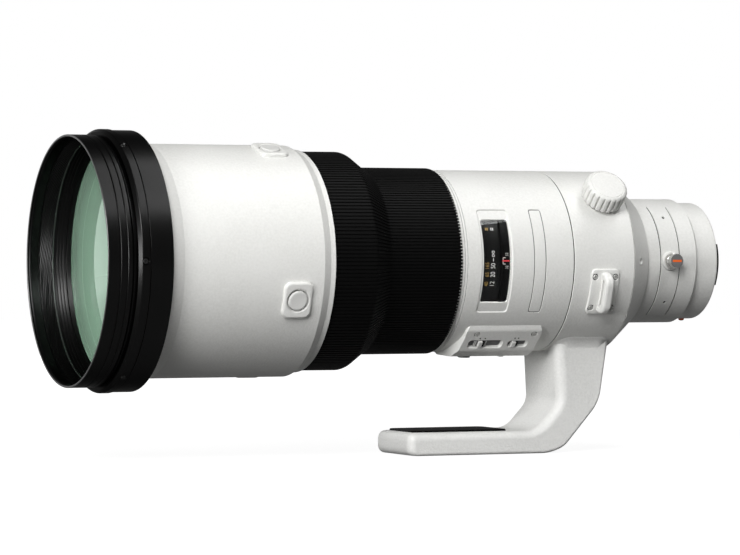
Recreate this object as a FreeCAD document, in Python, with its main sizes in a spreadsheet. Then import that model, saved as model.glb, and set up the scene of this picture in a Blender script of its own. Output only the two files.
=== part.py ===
import FreeCAD, Part
import math
import os

import Sketcher

# Telephoto lens, millimetres. +X runs back along the optical axis towards the camera, +Z is up.
# The origin is the centre of the rear mounting flange. The front rim is at negative X.

# Driving dimensions: each is set by itself.
SIZES = {
    # lengths along the axis, from the camera forward
    "rear_ring_length": 12.9,
    "filter_length": 33.3,
    "cone_length": 15.0,
    "cone_hole_radius": 1.8,
    "collar_length": 37.0,
    "rear_barrel_length": 67.2,
    "grip_narrow_length": 41.9,
    "grip_slope_length": 11.5,
    "grip_wide_length": 24.2,
    "front_barrel_length": 94.4,
    "spigot_length": 5.0,
    "band_length": 19.0,
    "rim_groove": 1.5,
    "rim_length": 14.4,
    # radii: the camera's register and the rear barrel, with the steps from part to part
    "register_radius": 25.0,
    "throat_step": 2.0,
    "claw_rise": 2.6,
    "bayonet_flange_rise": 5.35,
    "bayonet_screw_rise": 3.4,
    "rear_ring_rise": 2.4,
    "filter_rise": 2.05,
    "cone_rise": 2.2,
    "rear_barrel_radius": 50.0,
    "neck_step": 3.4,
    "inner_tube_step": 4.0,
    "grip_narrow_rise": 1.0,
    "grip_wide_rise": 8.4,
    "barrel_rise": 3.1,
    "flare_rise": 1.7,
    "barrel_lip_step": 2.0,
    "band_rise": 7.5,
    "band_rear_step": 0.5,
    "rim_step": 3.1,
    "rim_thread_step": 0.8,
    "rim_mouth_step": 1.6,
    "rim_bore_step": 0.7,
    # walls and clearances
    "seam": 0.3,
    "running_clearance": 0.08,
    "barrel_wall": 2.0,
    "rear_barrel_wall": 1.8,
    "rubber_thickness": 2.2,
    "ring_wall": 2.4,
    "flare_length": 6.7,
    "flare_land": 2.7,
    "rear_chamfer_length": 4.6,
    "lip_length": 2.7,
    "band_chamfer": 1.4,
    # front glass and its rings
    "rim_mouth_depth": 6.5,
    "rim_lip_chamfer": 1.6,
    "retainer_wall": 0.5,
    "retainer_front_gap": 0.4,
    "retainer_nose": 3.0,
    "front_glass_rise": 1.5,
    "front_glass_setback": 0.6,
    "front_glass_edge": 5.3,
    "front_glass_sag": 6.2,
    "front_glass_back_sag": 1.6,
    "glass_lip": 1.0,
    "glass_lip_length": 2.4,
    "glass_fit": 0.05,
    "seat_relief": 0.4,
    "second_glass_step": 2.3,
    "second_glass_edge": 9.0,
    "second_glass_sag": 4.0,
    "second_glass_back_sag": 2.5,
    "second_glass_gap": 14.0,
    "cell_tail": 6.0,
    # inner tube and what rides on it
    "inner_tube_wall": 2.5,
    "neck_relief": 0.5,
    "inner_tube_lead": 8.0,
    "tube_seat_length": 6.0,
    "seat_shoulder": 1.8,
    "bearing_land": 9.0,
    "motor_length": 7.0,
    "motor_gap": 0.3,
    "motor_clearance": 1.2,
    "motor_setback": 7.0,
    # distance scale and its window
    "window_front_offset": 12.8,
    "window_length": 15.9,
    "window_angle": 54.0,
    "window_glass_recess": 0.5,
    "window_glass_thickness": 0.9,
    "window_panel_margin": 1.3,
    "window_panel_angle": 68.0,
    "panel_recess": 0.3,
    "nameplate_offset": 43.2,
    "nameplate_length": 7.3,
    "scale_drum_wall": 1.1,
    "scale_drum_margin": 5.0,
    "index_plate_length": 4.6,
    "index_plate_thickness": 0.3,
    # focusing cell
    "focus_cell_length": 22.0,
    "focus_cell_wall": 4.0,
    "focus_cell_offset": 79.8,
    "focus_lens_edge": 7.0,
    "focus_lens_sag": 5.0,
    "focus_lens_seat": 7.0,
    # control panel
    "panel_length": 47.4,
    "panel_offset": 8.4,
    "panel_angle": -67.5,
    "panel_foot_half": 20.3,
    "panel_edge_half": 17.6,
    "panel_ridge_half": 3.9,
    "panel_ridge_rise": 5.0,
    "panel_fall": 6.6,
    "panel_foot_sink": 5.0,
    "slot_depth": 1.6,
    "slot_offset": -2.4,
    "slider_clearance": 0.25,
    "slider_height": 1.0,
    "focus_slot_length": 20.4,
    "focus_slot_width": 6.4,
    "focus_slot_place": 15.1,
    "focus_slider_length": 8.0,
    "focus_travel": 6.0,
    "override_slot_length": 12.2,
    "override_slot_width": 5.2,
    "override_slot_place": 34.6,
    "override_slider_length": 4.6,
    "override_travel": 4.5,
    "limiter_slot_length": 16.0,
    "limiter_slot_width": 5.2,
    "limiter_slot_place": 35.1,
    "limiter_slider_length": 5.0,
    "limiter_travel": 6.0,
    "preset_radius": 3.4,
    "preset_place": 9.7,
    "preset_height": 1.0,
    "preset_hole_depth": 1.8,
    "panel_screw_radius": 1.5,
    "panel_screw_edge": 4.7,
    "panel_screw_depth": 1.2,
    "screw_proud": 0.15,
    "panel_screw_front": 8.2,
    "panel_screw_rear": 4.8,
    # focus-hold buttons
    "hold_offset": 21.8,
    "hold_angle": -19.0,
    "hold_pad_length": 16.5,
    "hold_pad_width": 20.0,
    "hold_pad_height": 1.4,
    "hold_pad_corner": 4.0,
    "hold_button_radius": 5.4,
    "hold_button_proud": 0.5,
    "hold_button_thickness": 0.9,
    "hold_button_gap": 0.2,
    "hold_stem_radius": 3.4,
    "hold_stem_length": 4.6,
    # collar, lock knob and lugs
    "knob_offset": 14.2,
    "knob_angle": 43.0,
    "knob_radius": 12.0,
    "knob_height": 10.9,
    "knob_float": 0.35,
    "flute_radius": 0.9,
    "flute_count": 20,
    "clamp_screw_radius": 3.0,
    "clamp_screw_length": 9.0,
    "clamp_shoe_height": 1.15,
    "clamp_shoe_gap": 0.15,
    "lug_offset": 18.2,
    "lug_angle": -20.0,
    "lug_plate_length": 17.0,
    "lug_plate_angle": 30.0,
    "lug_plate_thickness": 1.2,
    "lug_bar_width": 5.0,
    "lug_bar_angle": 26.0,
    "lug_slot_angle": 17.0,
    "lug_slot_rise": 1.7,
    "lug_slot_height": 1.8,
    "lug_bar_thickness": 3.5,
    "lug_screw_radius": 1.4,
    "lug_screw_spacing": 12.4,
    "lug_screw_angle": 20.2,
    # foot
    "foot_width": 46.0,
    "foot_drop": 56.0,
    "foot_thickness": 12.6,
    "foot_lead": 122.4,
    "foot_toe_lead": 40.2,
    "foot_heel_lead": 31.4,
    "foot_heel_rise": 3.6,
    "foot_back_lead": 8.8,
    "foot_back_rise": 30.3,
    "post_inset": 4.4,
    "post_length": 27.1,
    "post_bend_rise": 30.0,
    "post_bend_lead": 44.8,
    "post_overlap": 12.0,
    "foot_round": 3.0,
    "pad_front_gap": 3.7,
    "pad_rear_gap": 17.0,
    "pad_width": 36.0,
    "pad_thickness": 1.0,
    "large_thread_radius": 3.97,
    "small_thread_radius": 2.55,
    "thread_depth": 9.0,
    "large_thread_place": 26.0,
    "small_thread_place": 52.0,
    # iris
    "iris_offset": 20.0,
    "iris_plate_thickness": 1.5,
    "iris_rim_rise": 2.0,
    "iris_rim_wall": 3.0,
    "iris_rim_length": 5.3,
    "blade_pin_step": 1.0,
    "blade_edge_step": 1.8,
    "blade_width": 4.9,
    "iris_bore_step": 0.3,
    "blade_thickness": 0.2,
    "blade_pitch": 0.3,
    "blade_span": 110.0,
    "blade_pin_radius": 0.6,
    "blade_ear_radius": 2.4,
    "blade_pin_clearance": 0.05,
    "iris_ring_thickness": 1.5,
    "lever_inset": 2.0,
    "lever_radius": 1.0,
    "lever_slot_margin": 8.0,
    "lever_rod_overlap": 0.5,
    "blade_lean": 4.0,
    "lever_angle": 70.0,
    "lever_sweep": 28.0,
    "lever_end_gap": 9.0,
    "lever_tip_step": 2.5,
    "lever_tip_length": 8.0,
    # rear lenses
    "rear_cell_step": 2.0,
    "rear_cell_wall": 2.0,
    "rear_cell_front": 18.0,
    "rear_cell_rear": 14.0,
    "rear_cell_flange": 2.0,
    "rear_lens_edge": 5.0,
    "rear_lens_sag": 2.5,
    "rear_lens_inset": 1.5,
    "housing_spigot": 8.8,
    "housing_wall": 3.5,
    "housing_chamfer": 1.9,
    "bulkhead_thickness": 2.0,
    # drop-in filter
    "drawer_offset": 12.2,
    "drawer_length": 12.2,
    "drawer_cover_angle": 120.0,
    "drawer_cover_thickness": 1.8,
    "drawer_gap": 0.1,
    "frame_margin": 1.1,
    "frame_share": 0.703,
    "frame_clearance": 0.3,
    "filter_glass_step": 1.8,
    "filter_glass_thickness": 2.0,
    "filter_knob_radius": 4.45,
    "filter_knob_height": 4.8,
    "filter_cap_radius": 3.55,
    "filter_cap_height": 2.2,
    "filter_boss_radius": 4.8,
    "filter_boss_height": 1.2,
    "filter_stem_radius": 1.5,
    "filter_stem_length": 3.0,
    "neck_block_half": 8.0,
    # mount
    "bayonet_thickness": 2.0,
    "claw_thickness": 1.8,
    "bayonet_reach": 4.4,
    "claw_angle": 60.0,
    "bayonet_web": 2.0,
    "ring_wall_rear": 2.75,
    "bayonet_screw_radius": 1.2,
    "contact_block_angle": 48.0,
    "contact_block_height": 3.4,
    "contact_block_length": 6.0,
    "index_dot_radius": 1.65,
    "index_dot_place": 5.6,
    "index_dot_proud": 0.8,
    "index_dot_depth": 0.9,
    "hood_screw_radius": 1.6,
    "hood_screw_depth": 1.8,
    "hood_screw_place": 3.5,
}

BLADES = 9
HOLD_BUTTONS = 4
HOOD_SCREWS = 6
BAYONET_SCREWS = 6
CLAWS = 3
TOP = 90.0
NEAR_SIDE = 0.0
BOTTOM = -90.0
ON_FRAME = 0.0


class Size:
    """A length or angle that keeps its value and the sheet expression that gives it."""

    def __init__(self, value, text):
        self.value = value
        self.text = text

    def joined(self, other, sign, value, swap=False):
        text = getattr(other, "text", repr(other))
        first, second = (text, self.text) if swap else (self.text, text)
        return Size(value, f"({first} {sign} {second})")

    def __add__(self, other):
        return self.joined(other, "+", self.value + number(other))

    def __radd__(self, other):
        return self.joined(other, "+", number(other) + self.value, swap=True)

    def __sub__(self, other):
        return self.joined(other, "-", self.value - number(other))

    def __rsub__(self, other):
        return self.joined(other, "-", number(other) - self.value, swap=True)

    def __mul__(self, other):
        return self.joined(other, "*", self.value * number(other))

    __rmul__ = __mul__

    def __truediv__(self, other):
        return self.joined(other, "/", self.value / number(other))

    def __neg__(self):
        return Size(-self.value, f"(0 - {self.text})")


def number(size):
    """The plain value of a size or a number."""
    return getattr(size, "value", size)


class Sheet:
    """The driving dimensions as attributes, each tied to its cell."""


DOCUMENT = FreeCAD.newDocument("telephoto_lens")
CELLS = DOCUMENT.addObject("Spreadsheet::Sheet", "Sizes")
D = Sheet()
for row, (alias, dimension) in enumerate(SIZES.items(), start=1):
    CELLS.set(f"A{row}", alias.replace("_", " "))
    CELLS.set(f"B{row}", str(dimension))
    CELLS.setAlias(f"B{row}", alias)
    setattr(D, alias, Size(dimension, f"Sizes.{alias}"))
DOCUMENT.recompute()

NODES = []

# Places along the axis, worked out from the lengths.
ring_front = -D.rear_ring_length
filter_front = ring_front - D.filter_length
cone_front = filter_front - D.cone_length
collar_front = cone_front - D.collar_length
rear_barrel_front = collar_front - D.rear_barrel_length
grip_rear = rear_barrel_front - D.seam
slope_rear = grip_rear - D.grip_narrow_length
slope_front = slope_rear - D.grip_slope_length
grip_front = slope_front - D.grip_wide_length
barrel_rear = grip_front - D.seam
band_rear = barrel_rear - D.front_barrel_length
spigot_front = band_rear - D.spigot_length
band_front = band_rear - D.band_length
rim_rear = band_front - D.rim_groove
rim_front = rim_rear - D.rim_length
glass_back = spigot_front - D.front_glass_setback
glass_seat = glass_back - D.front_glass_edge
rim_thread_end = glass_seat - D.retainer_nose
tube_rear = collar_front - D.seat_shoulder
tube_front = barrel_rear - D.inner_tube_lead

# Radii, worked out from the rear barrel to the front.
neck_radius = D.rear_barrel_radius - D.neck_step
inner_tube_radius = D.rear_barrel_radius - D.inner_tube_step
grip_narrow_radius = D.rear_barrel_radius + D.grip_narrow_rise
grip_wide_radius = grip_narrow_radius + D.grip_wide_rise
front_barrel_radius = grip_wide_radius + D.barrel_rise
barrel_flare_radius = front_barrel_radius + D.flare_rise
barrel_lip_radius = front_barrel_radius - D.barrel_lip_step
band_radius = front_barrel_radius + D.band_rise
rim_radius = band_radius - D.rim_step
rim_thread_radius = rim_radius - D.rim_thread_step
rim_mouth_radius = rim_radius - D.rim_mouth_step
rim_bore_radius = rim_mouth_radius - D.rim_bore_step
barrel_bore = front_barrel_radius - D.barrel_wall
front_glass_radius = barrel_bore + D.front_glass_rise
second_glass_radius = barrel_bore - D.second_glass_step
ring_hollow = grip_wide_radius - D.rubber_thickness - D.ring_wall
motor_radius = ring_hollow - D.motor_clearance
tube_bore = inner_tube_radius - D.inner_tube_wall
bearing_bore = inner_tube_radius + D.running_clearance
rear_barrel_bore = D.rear_barrel_radius - D.rear_barrel_wall
neck_bore = tube_bore + D.neck_relief

# Radii, worked out from the camera's register forward.
throat_radius = D.register_radius - D.throat_step
claw_radius = D.register_radius + D.claw_rise
bayonet_screw_circle = D.register_radius + D.bayonet_screw_rise
bayonet_flange_radius = D.register_radius + D.bayonet_flange_rise
rear_ring_radius = bayonet_flange_radius + D.rear_ring_rise
filter_radius = rear_ring_radius + D.filter_rise
cone_small_radius = filter_radius + D.cone_rise
ring_bore = rear_ring_radius - D.ring_wall_rear
lever_circle = ring_bore - D.lever_inset
lever_tip_circle = throat_radius - D.lever_tip_step
rear_cell_radius = lever_circle - D.rear_cell_step
iris_rim_bore = lever_circle + D.iris_rim_rise
iris_rim_radius = iris_rim_bore + D.iris_rim_wall
blade_pin_circle = lever_circle - D.blade_pin_step
blade_outer_radius = blade_pin_circle - D.blade_edge_step
blade_inner_radius = blade_outer_radius - D.blade_width
iris_bore = blade_inner_radius - D.iris_bore_step


def bind(item, **values):
    """Tie properties to the sheet. A double underscore in a name stands for a dot."""
    for name, size in values.items():
        item.setExpression(name.replace("__", "."), getattr(size, "text", repr(size)))


def turn_about_axis(angle):
    """Placement that brings the local +Z direction to an angle: 0 near side, 90 top."""
    return FreeCAD.Placement(FreeCAD.Vector(), FreeCAD.Rotation(FreeCAD.Vector(1, 0, 0), TOP - number(angle)))


def shift(x=0.0, y=0.0, z=0.0):
    """Placement that only moves."""
    return FreeCAD.Placement(FreeCAD.Vector(number(x), number(y), number(z)), FreeCAD.Rotation())


def outline(body, name, points, plane):
    """Closed sketch of straight sides on one of the body's own planes, each corner tied to the sheet."""
    sketch = body.newObject("Sketcher::SketchObject", name)
    origin_plane = [item for item in body.Origin.OriginFeatures if item.Role == plane][0]
    sketch.AttachmentSupport = [(origin_plane, "")]
    sketch.MapMode = "FlatFace"
    corners = [FreeCAD.Vector(number(x), number(y), 0) for x, y in points]
    for index, corner in enumerate(corners):
        sketch.addGeometry(Part.LineSegment(corner, corners[(index + 1) % len(corners)]), False)
    for index in range(len(corners)):
        sketch.addConstraint(Sketcher.Constraint("Coincident", index, 2, (index + 1) % len(corners), 1))
    for index, (x, y) in enumerate(points):
        for kind, size in (("DistanceX", x), ("DistanceY", y)):
            place = sketch.addConstraint(Sketcher.Constraint(kind, -1, 1, index, 1, number(size)))
            if hasattr(size, "text"):
                sketch.setExpression(f"Constraints[{place}]", size.text)
    return sketch


def turned(name, points, angle=None):
    """Body turned about the optical axis from (x, radius) corners. A given angle makes a sector
    centred on the local +Z direction."""
    body = DOCUMENT.addObject("PartDesign::Body", name)
    sketch = outline(body, name + "_section", points, "XZ_Plane")
    feature = body.newObject("PartDesign::Revolution", name + "_turn")
    feature.Profile = sketch
    feature.ReferenceAxis = (sketch, ["H_Axis"])
    feature.Angle = 360
    if angle is not None:
        feature.Midplane = True
        feature.Angle = number(angle)
        bind(feature, Angle=angle)
    body.Tip = feature
    return body


def ring(name, x_front, x_rear, inner, outer, angle=None):
    """Plain ring, or a sector of one."""
    return turned(name, [(x_front, inner), (x_front, outer), (x_rear, outer), (x_rear, inner)], angle)


def axial(name, x_front, x_rear, radius, y=0.0, z=0.0):
    """Cylinder along the optical axis."""
    item = DOCUMENT.addObject("Part::Cylinder", name)
    item.Placement = FreeCAD.Placement(
        FreeCAD.Vector(number(x_front), number(y), number(z)), FreeCAD.Rotation(FreeCAD.Vector(0, 1, 0), 90))
    bind(item, Radius=radius, Height=x_rear - x_front, Placement__Base__x=x_front)
    return item


def radial(name, x, low, high, radius, y=0.0):
    """Cylinder that stands out along the local +Z direction, from low to high."""
    item = DOCUMENT.addObject("Part::Cylinder", name)
    item.Placement = shift(x, y, low)
    bind(item, Radius=radius, Height=high - low, Placement__Base__x=x, Placement__Base__z=low)
    return item


def block(name, x_front, x_rear, width, low, high, y=0.0):
    """Box centred on the local Y, from low to high in Z."""
    item = DOCUMENT.addObject("Part::Box", name)
    item.Placement = shift(x_front, y - number(width) / 2, low)
    bind(item, Length=x_rear - x_front, Width=width, Height=high - low,
         Placement__Base__x=x_front, Placement__Base__y=y - width / 2, Placement__Base__z=low)
    return item


def cut(name, base, *tools):
    """The base with every tool taken away."""
    item = DOCUMENT.addObject("Part::Cut", name)
    item.Base = base
    item.Tool = tools[0] if len(tools) == 1 else fuse(name + "_tools", *tools)
    return item


def fuse(name, *items):
    """All items made one solid."""
    item = DOCUMENT.addObject("Part::MultiFuse", name)
    item.Shapes = list(items)
    item.Refine = True
    return item


def common(name, *items):
    """What all items share."""
    item = DOCUMENT.addObject("Part::MultiCommon", name)
    item.Shapes = list(items)
    return item


def group(name, *items):
    """Separate solids kept together in one node."""
    item = DOCUMENT.addObject("Part::Compound", name)
    item.Links = list(items)
    return item


def node(label, item, placement=None):
    """Name a finished sub-part and put it in its place."""
    item.Label = label
    if placement is not None:
        item.Placement = placement.multiply(item.Placement)
    NODES.append(item)
    return item


def sphere_radius(radius, sag):
    """Radius of a ball whose cap has this rim radius and height."""
    return (radius * radius + sag * sag) / (2 * sag)


def lens(name, edge_front, edge_rear, radius, front_sag, back_sag):
    """Glass bounded by two balls and a cylinder, thickest on the axis."""
    front_ball = DOCUMENT.addObject("Part::Sphere", name + "_front_ball")
    back_ball = DOCUMENT.addObject("Part::Sphere", name + "_back_ball")
    front_radius = sphere_radius(radius, front_sag)
    back_radius = sphere_radius(radius, back_sag)
    bind(front_ball, Radius=front_radius, Placement__Base__x=edge_front - front_sag + front_radius)
    bind(back_ball, Radius=back_radius, Placement__Base__x=edge_rear + back_sag - back_radius)
    rod = axial(name + "_edge", edge_front - front_sag - 1, edge_rear + back_sag + 1, radius)
    return common(name + "_glass", front_ball, back_ball, rod)


# Front: rim, band, barrel and the front glass in its cell.

def front_rim():
    """Black ring round the mouth, with a finely ribbed wall and a thread behind."""
    corners = [
        (rim_front, rim_radius),
        (rim_rear, rim_radius),
        (rim_rear, rim_thread_radius),
        (rim_thread_end, rim_thread_radius),
        (rim_thread_end, rim_bore_radius),
        (rim_front + D.rim_mouth_depth, rim_bore_radius),
        (rim_front + D.rim_mouth_depth, rim_mouth_radius),
        (rim_front + D.rim_lip_chamfer, rim_mouth_radius),
        (rim_front, rim_mouth_radius + D.rim_lip_chamfer * 0.75),
    ]
    node("front_rim_ring", turned("front_rim", corners))


def hood_band():
    """Wide band that the hood clamps on, with a ring of small screws."""
    step = band_front + D.band_length / 3
    corners = [
        (band_front, rim_thread_radius),
        (band_front, band_radius - D.band_chamfer),
        (band_front + D.band_chamfer, band_radius),
        (step, band_radius),
        (step, band_radius - D.band_rear_step),
        (band_rear, band_radius - D.band_rear_step),
        (band_rear, barrel_flare_radius),
        (spigot_front, barrel_flare_radius),
        (spigot_front, rim_thread_radius),
    ]
    band = turned("band", corners)
    place = band_front + D.hood_screw_place
    holes = []
    screws = []
    for index in range(HOOD_SCREWS):
        angle = index * 360.0 / HOOD_SCREWS
        low = band_radius - D.hood_screw_depth
        turn = turn_about_axis(angle)
        holes.append(radial_at(f"hood_hole_{index}", place, low, band_radius + 1, D.hood_screw_radius, turn))
        screws.append(radial_at(f"hood_screw_{index}", place, low, band_radius - D.screw_proud,
                                D.hood_screw_radius, turn))
    node("hood_band", cut("band_drilled", band, *holes))
    node("hood_band_screws", group("hood_screws", *screws))


def front_barrel():
    """White barrel, flared at the band, with an inner flange at the rear for the inner tube."""
    flange = D.barrel_wall
    corners = [
        (spigot_front, barrel_bore),
        (spigot_front, barrel_flare_radius),
        (band_rear + D.flare_land, barrel_flare_radius),
        (band_rear + D.flare_land + D.flare_length, front_barrel_radius),
        (barrel_rear - D.lip_length - D.rear_chamfer_length, front_barrel_radius),
        (barrel_rear - D.lip_length, barrel_lip_radius),
        (barrel_rear, barrel_lip_radius),
        (barrel_rear, inner_tube_radius),
        (barrel_rear - D.inner_tube_lead + flange, inner_tube_radius),
        (barrel_rear - D.inner_tube_lead + flange, barrel_bore - flange),
        (barrel_rear - D.lip_length - D.rear_chamfer_length, barrel_bore),
    ]
    shell = turned("barrel_shell", corners)
    place = barrel_rear - D.hold_offset
    holes = []
    for index in range(HOLD_BUTTONS):
        hole = radial(f"hold_hole_{index}", place, barrel_bore - 1, front_barrel_radius + 1,
                      D.hold_stem_radius + D.hold_button_gap)
        freely_placed(hole, hold_turn(index))
        holes.append(hole)
    node("front_barrel", cut("barrel_drilled", shell, *holes))


def hold_turn(index):
    """Turn of one of the focus-hold buttons round the barrel."""
    return turn_about_axis(number(D.hold_angle) + index * 360.0 / HOLD_BUTTONS)


def hold_buttons():
    """Four buttons on rounded pads, each with a stem through the barrel wall."""
    place = barrel_rear - D.hold_offset
    pad_top = front_barrel_radius + D.hold_pad_height
    button_top = pad_top + D.hold_button_proud
    button_low = button_top - D.hold_button_thickness
    pads = []
    for index in range(HOLD_BUTTONS):
        plate = block(f"pad_plate_{index}", place - D.hold_pad_length / 2, place + D.hold_pad_length / 2,
                      D.hold_pad_width, barrel_bore, pad_top)
        rounded = DOCUMENT.addObject("Part::Fillet", f"pad_rounded_{index}")
        rounded.Base = plate
        corner = number(D.hold_pad_corner)
        DOCUMENT.recompute()
        rounded.Edges = [(edge, corner, corner) for edge in upright_edges(plate.Shape)]
        core = axial(f"pad_core_{index}", place - D.hold_pad_length, place + D.hold_pad_length,
                     front_barrel_radius)
        hole = radial(f"pad_hole_{index}", place, barrel_bore, pad_top + 1,
                      D.hold_button_radius + D.hold_button_gap)
        pads.append(cut(f"pad_{index}", rounded, core, hole))
        pads[-1].Placement = hold_turn(index)
        cap = radial(f"button_cap_{index}", place, button_low, button_top, D.hold_button_radius)
        stem = radial(f"button_stem_{index}", place, button_low - D.hold_stem_length, button_low,
                      D.hold_stem_radius)
        node(f"hold_button_{index + 1}", fuse(f"button_{index}", cap, stem), hold_turn(index))
    node("button_pads", group("pads", *pads))


def upright_edges(shape):
    """Numbers of the edges that run along Z."""
    return [index for index, edge in enumerate(shape.Edges, start=1)
            if abs(edge.tangentAt(edge.FirstParameter).z) > 0.99]


def front_optics():
    """Front glass in its cell behind a black retaining ring, and the second glass behind it."""
    retainer_front = rim_rear + D.retainer_front_gap
    opening = front_glass_radius - D.glass_lip
    outer = rim_bore_radius - D.glass_fit * 2
    seat_outer = front_glass_radius + D.glass_lip
    node("front_retaining_ring", turned("retainer", [
        (retainer_front, outer - D.retainer_wall),
        (retainer_front, outer),
        (rim_thread_end, outer),
        (rim_thread_end, seat_outer),
        (glass_seat, seat_outer),
        (glass_seat, front_glass_radius),
        (glass_seat - D.seat_relief, opening),
        (rim_thread_end, opening + D.glass_lip),
    ]))
    second_front = spigot_front + D.second_glass_gap
    second_back = second_front + D.second_glass_edge
    sleeve_outer = barrel_bore - D.glass_fit * 2
    sleeve_bore = second_glass_radius + D.glass_fit
    glass_bore = front_glass_radius + D.glass_fit
    tail = second_back + D.cell_tail
    node("front_cell", turned("cell", [
        (rim_thread_end, seat_outer),
        (rim_thread_end, rim_thread_radius),
        (spigot_front, rim_thread_radius),
        (spigot_front, sleeve_outer),
        (tail, sleeve_outer),
        (tail, sleeve_bore - D.glass_lip * 2),
        (second_back + D.seat_relief, sleeve_bore - D.glass_lip * 2),
        (second_back, sleeve_bore),
        (glass_back + D.glass_lip_length, sleeve_bore),
        (glass_back + D.seat_relief / 2, front_glass_radius - D.glass_lip),
        (glass_back, glass_bore),
        (glass_seat, glass_bore),
        (glass_seat, seat_outer),
    ]))
    node("front_element", lens("front", glass_seat, glass_back, front_glass_radius,
                               D.front_glass_sag, D.front_glass_back_sag))
    node("second_element", lens("second", second_front, second_back, second_glass_radius,
                                D.second_glass_sag, D.second_glass_back_sag))


# Middle: focus ring, inner tube, ring motor, focusing cell, rear barrel and its window.

def focus_ring():
    """Metal ring that turns on the inner tube, and its rubber grip in two diameters."""
    wide = grip_wide_radius - D.rubber_thickness
    narrow = grip_narrow_radius - D.rubber_thickness
    node("focus_ring", turned("ring_core", [
        (grip_front, bearing_bore),
        (grip_front, wide),
        (slope_front, wide),
        (slope_rear, narrow),
        (grip_rear, narrow),
        (grip_rear, bearing_bore),
        (grip_rear - D.bearing_land, bearing_bore),
        (grip_rear - D.bearing_land, bearing_bore + 1),
        (slope_rear - 1, bearing_bore + 1),
        (slope_front + 1, ring_hollow),
        (grip_front + D.ring_wall, ring_hollow),
        (grip_front + D.ring_wall, bearing_bore),
    ]))
    node("focus_grip", turned("grip", [
        (grip_front, wide),
        (grip_front, grip_wide_radius),
        (slope_front, grip_wide_radius),
        (slope_rear, grip_narrow_radius),
        (grip_rear, grip_narrow_radius),
        (grip_rear, narrow),
        (slope_rear, narrow),
        (slope_front, wide),
    ]))


def inner_tube():
    """Tube that joins the front barrel to the rear barrel and carries the focus ring."""
    node("inner_tube", ring("tube", tube_front, tube_rear, tube_bore, inner_tube_radius))


def ring_motor():
    """Ring motor in the wide part of the focus ring: fixed stator, turning rotor."""
    stator_front = grip_front + D.motor_setback
    rotor_front = stator_front + D.motor_length + D.motor_gap
    node("motor_stator", ring("stator", stator_front, stator_front + D.motor_length,
                              inner_tube_radius, motor_radius))
    node("motor_rotor", ring("rotor", rotor_front, rotor_front + D.motor_length, bearing_bore,
                             motor_radius))


def focusing_cell():
    """Cell that slides in the inner tube, with the focusing lens."""
    rear = collar_front - D.focus_cell_offset
    front = rear - D.focus_cell_length
    outer = tube_bore - D.running_clearance
    bore = outer - D.focus_cell_wall
    seat = front + D.focus_lens_seat
    seat_back = seat + D.focus_lens_edge
    node("focus_cell", turned("carriage", [
        (front, bore),
        (front, outer),
        (rear, outer),
        (rear, bore - D.glass_lip * 2),
        (seat_back + D.seat_relief, bore - D.glass_lip * 2),
        (seat_back, bore),
    ]))
    node("focus_lens", lens("focusing", seat, seat_back, bore - D.glass_fit, D.focus_lens_sag,
                            D.focus_lens_sag / 4))


window_front = rear_barrel_front + D.window_front_offset
window_rear = window_front + D.window_length
glass_top = D.rear_barrel_radius - D.window_glass_recess
glass_low = glass_top - D.window_glass_thickness


def rear_barrel():
    """White rear barrel with the window, its recess, the bare nameplate and the collar's neck."""
    shell = turned("rear_shell", [
        (rear_barrel_front, rear_barrel_bore),
        (rear_barrel_front, D.rear_barrel_radius),
        (collar_front, D.rear_barrel_radius),
        (collar_front, neck_radius),
        (cone_front, neck_radius),
        (cone_front, neck_bore),
        (tube_rear, neck_bore),
        (tube_rear, inner_tube_radius),
        (tube_rear - D.tube_seat_length, inner_tube_radius),
        (tube_rear - D.tube_seat_length, rear_barrel_bore),
    ])
    skin = D.rear_barrel_radius - D.panel_recess
    beyond = D.rear_barrel_radius + 1
    window = ring("window_cut", window_front, window_rear, rear_barrel_bore - 1, beyond, D.window_angle)
    panel = ring("window_panel_cut", window_front - D.window_panel_margin,
                 window_rear + D.window_panel_margin, skin, beyond, D.window_panel_angle)
    plate_front = rear_barrel_front + D.nameplate_offset
    plate = ring("nameplate_cut", plate_front, plate_front + D.nameplate_length, skin, beyond,
                 D.window_panel_angle)
    opened = cut("rear_shell_cut", shell, *[facing_near_side(item) for item in (window, panel, plate)])
    node("rear_barrel", opened)


def facing_near_side(item):
    """Turn a piece made on top round to the near side."""
    item.Placement = turn_about_axis(NEAR_SIDE)
    return item


def distance_window():
    """Curved glass in the window, the turning scale drum and the fixed index plate under it."""
    pane = ring("pane", window_front, window_rear, glass_low, glass_top, D.window_angle)
    node("scale_window", pane, turn_about_axis(NEAR_SIDE))
    drum_front = window_front - D.scale_drum_margin
    drum_rear = window_rear + D.scale_drum_margin
    node("distance_scale", ring("drum", drum_front, drum_rear, bearing_bore,
                                bearing_bore + D.scale_drum_wall))
    plate = ring("index_strip", window_rear - D.index_plate_length, window_rear,
                 glass_low - D.index_plate_thickness, glass_low, D.window_angle)
    node("index_plate", plate, turn_about_axis(NEAR_SIDE))


# Control panel on the lower near side.

panel_front = rear_barrel_front + D.panel_offset
panel_ridge_height = D.rear_barrel_radius + D.panel_ridge_rise
panel_edge_height = panel_ridge_height - D.panel_fall


def panel_place():
    """Placement of the panel: its ridge points out along local +Z, and x starts at its front."""
    return turn_about_axis(D.panel_angle).multiply(shift(panel_front))


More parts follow.
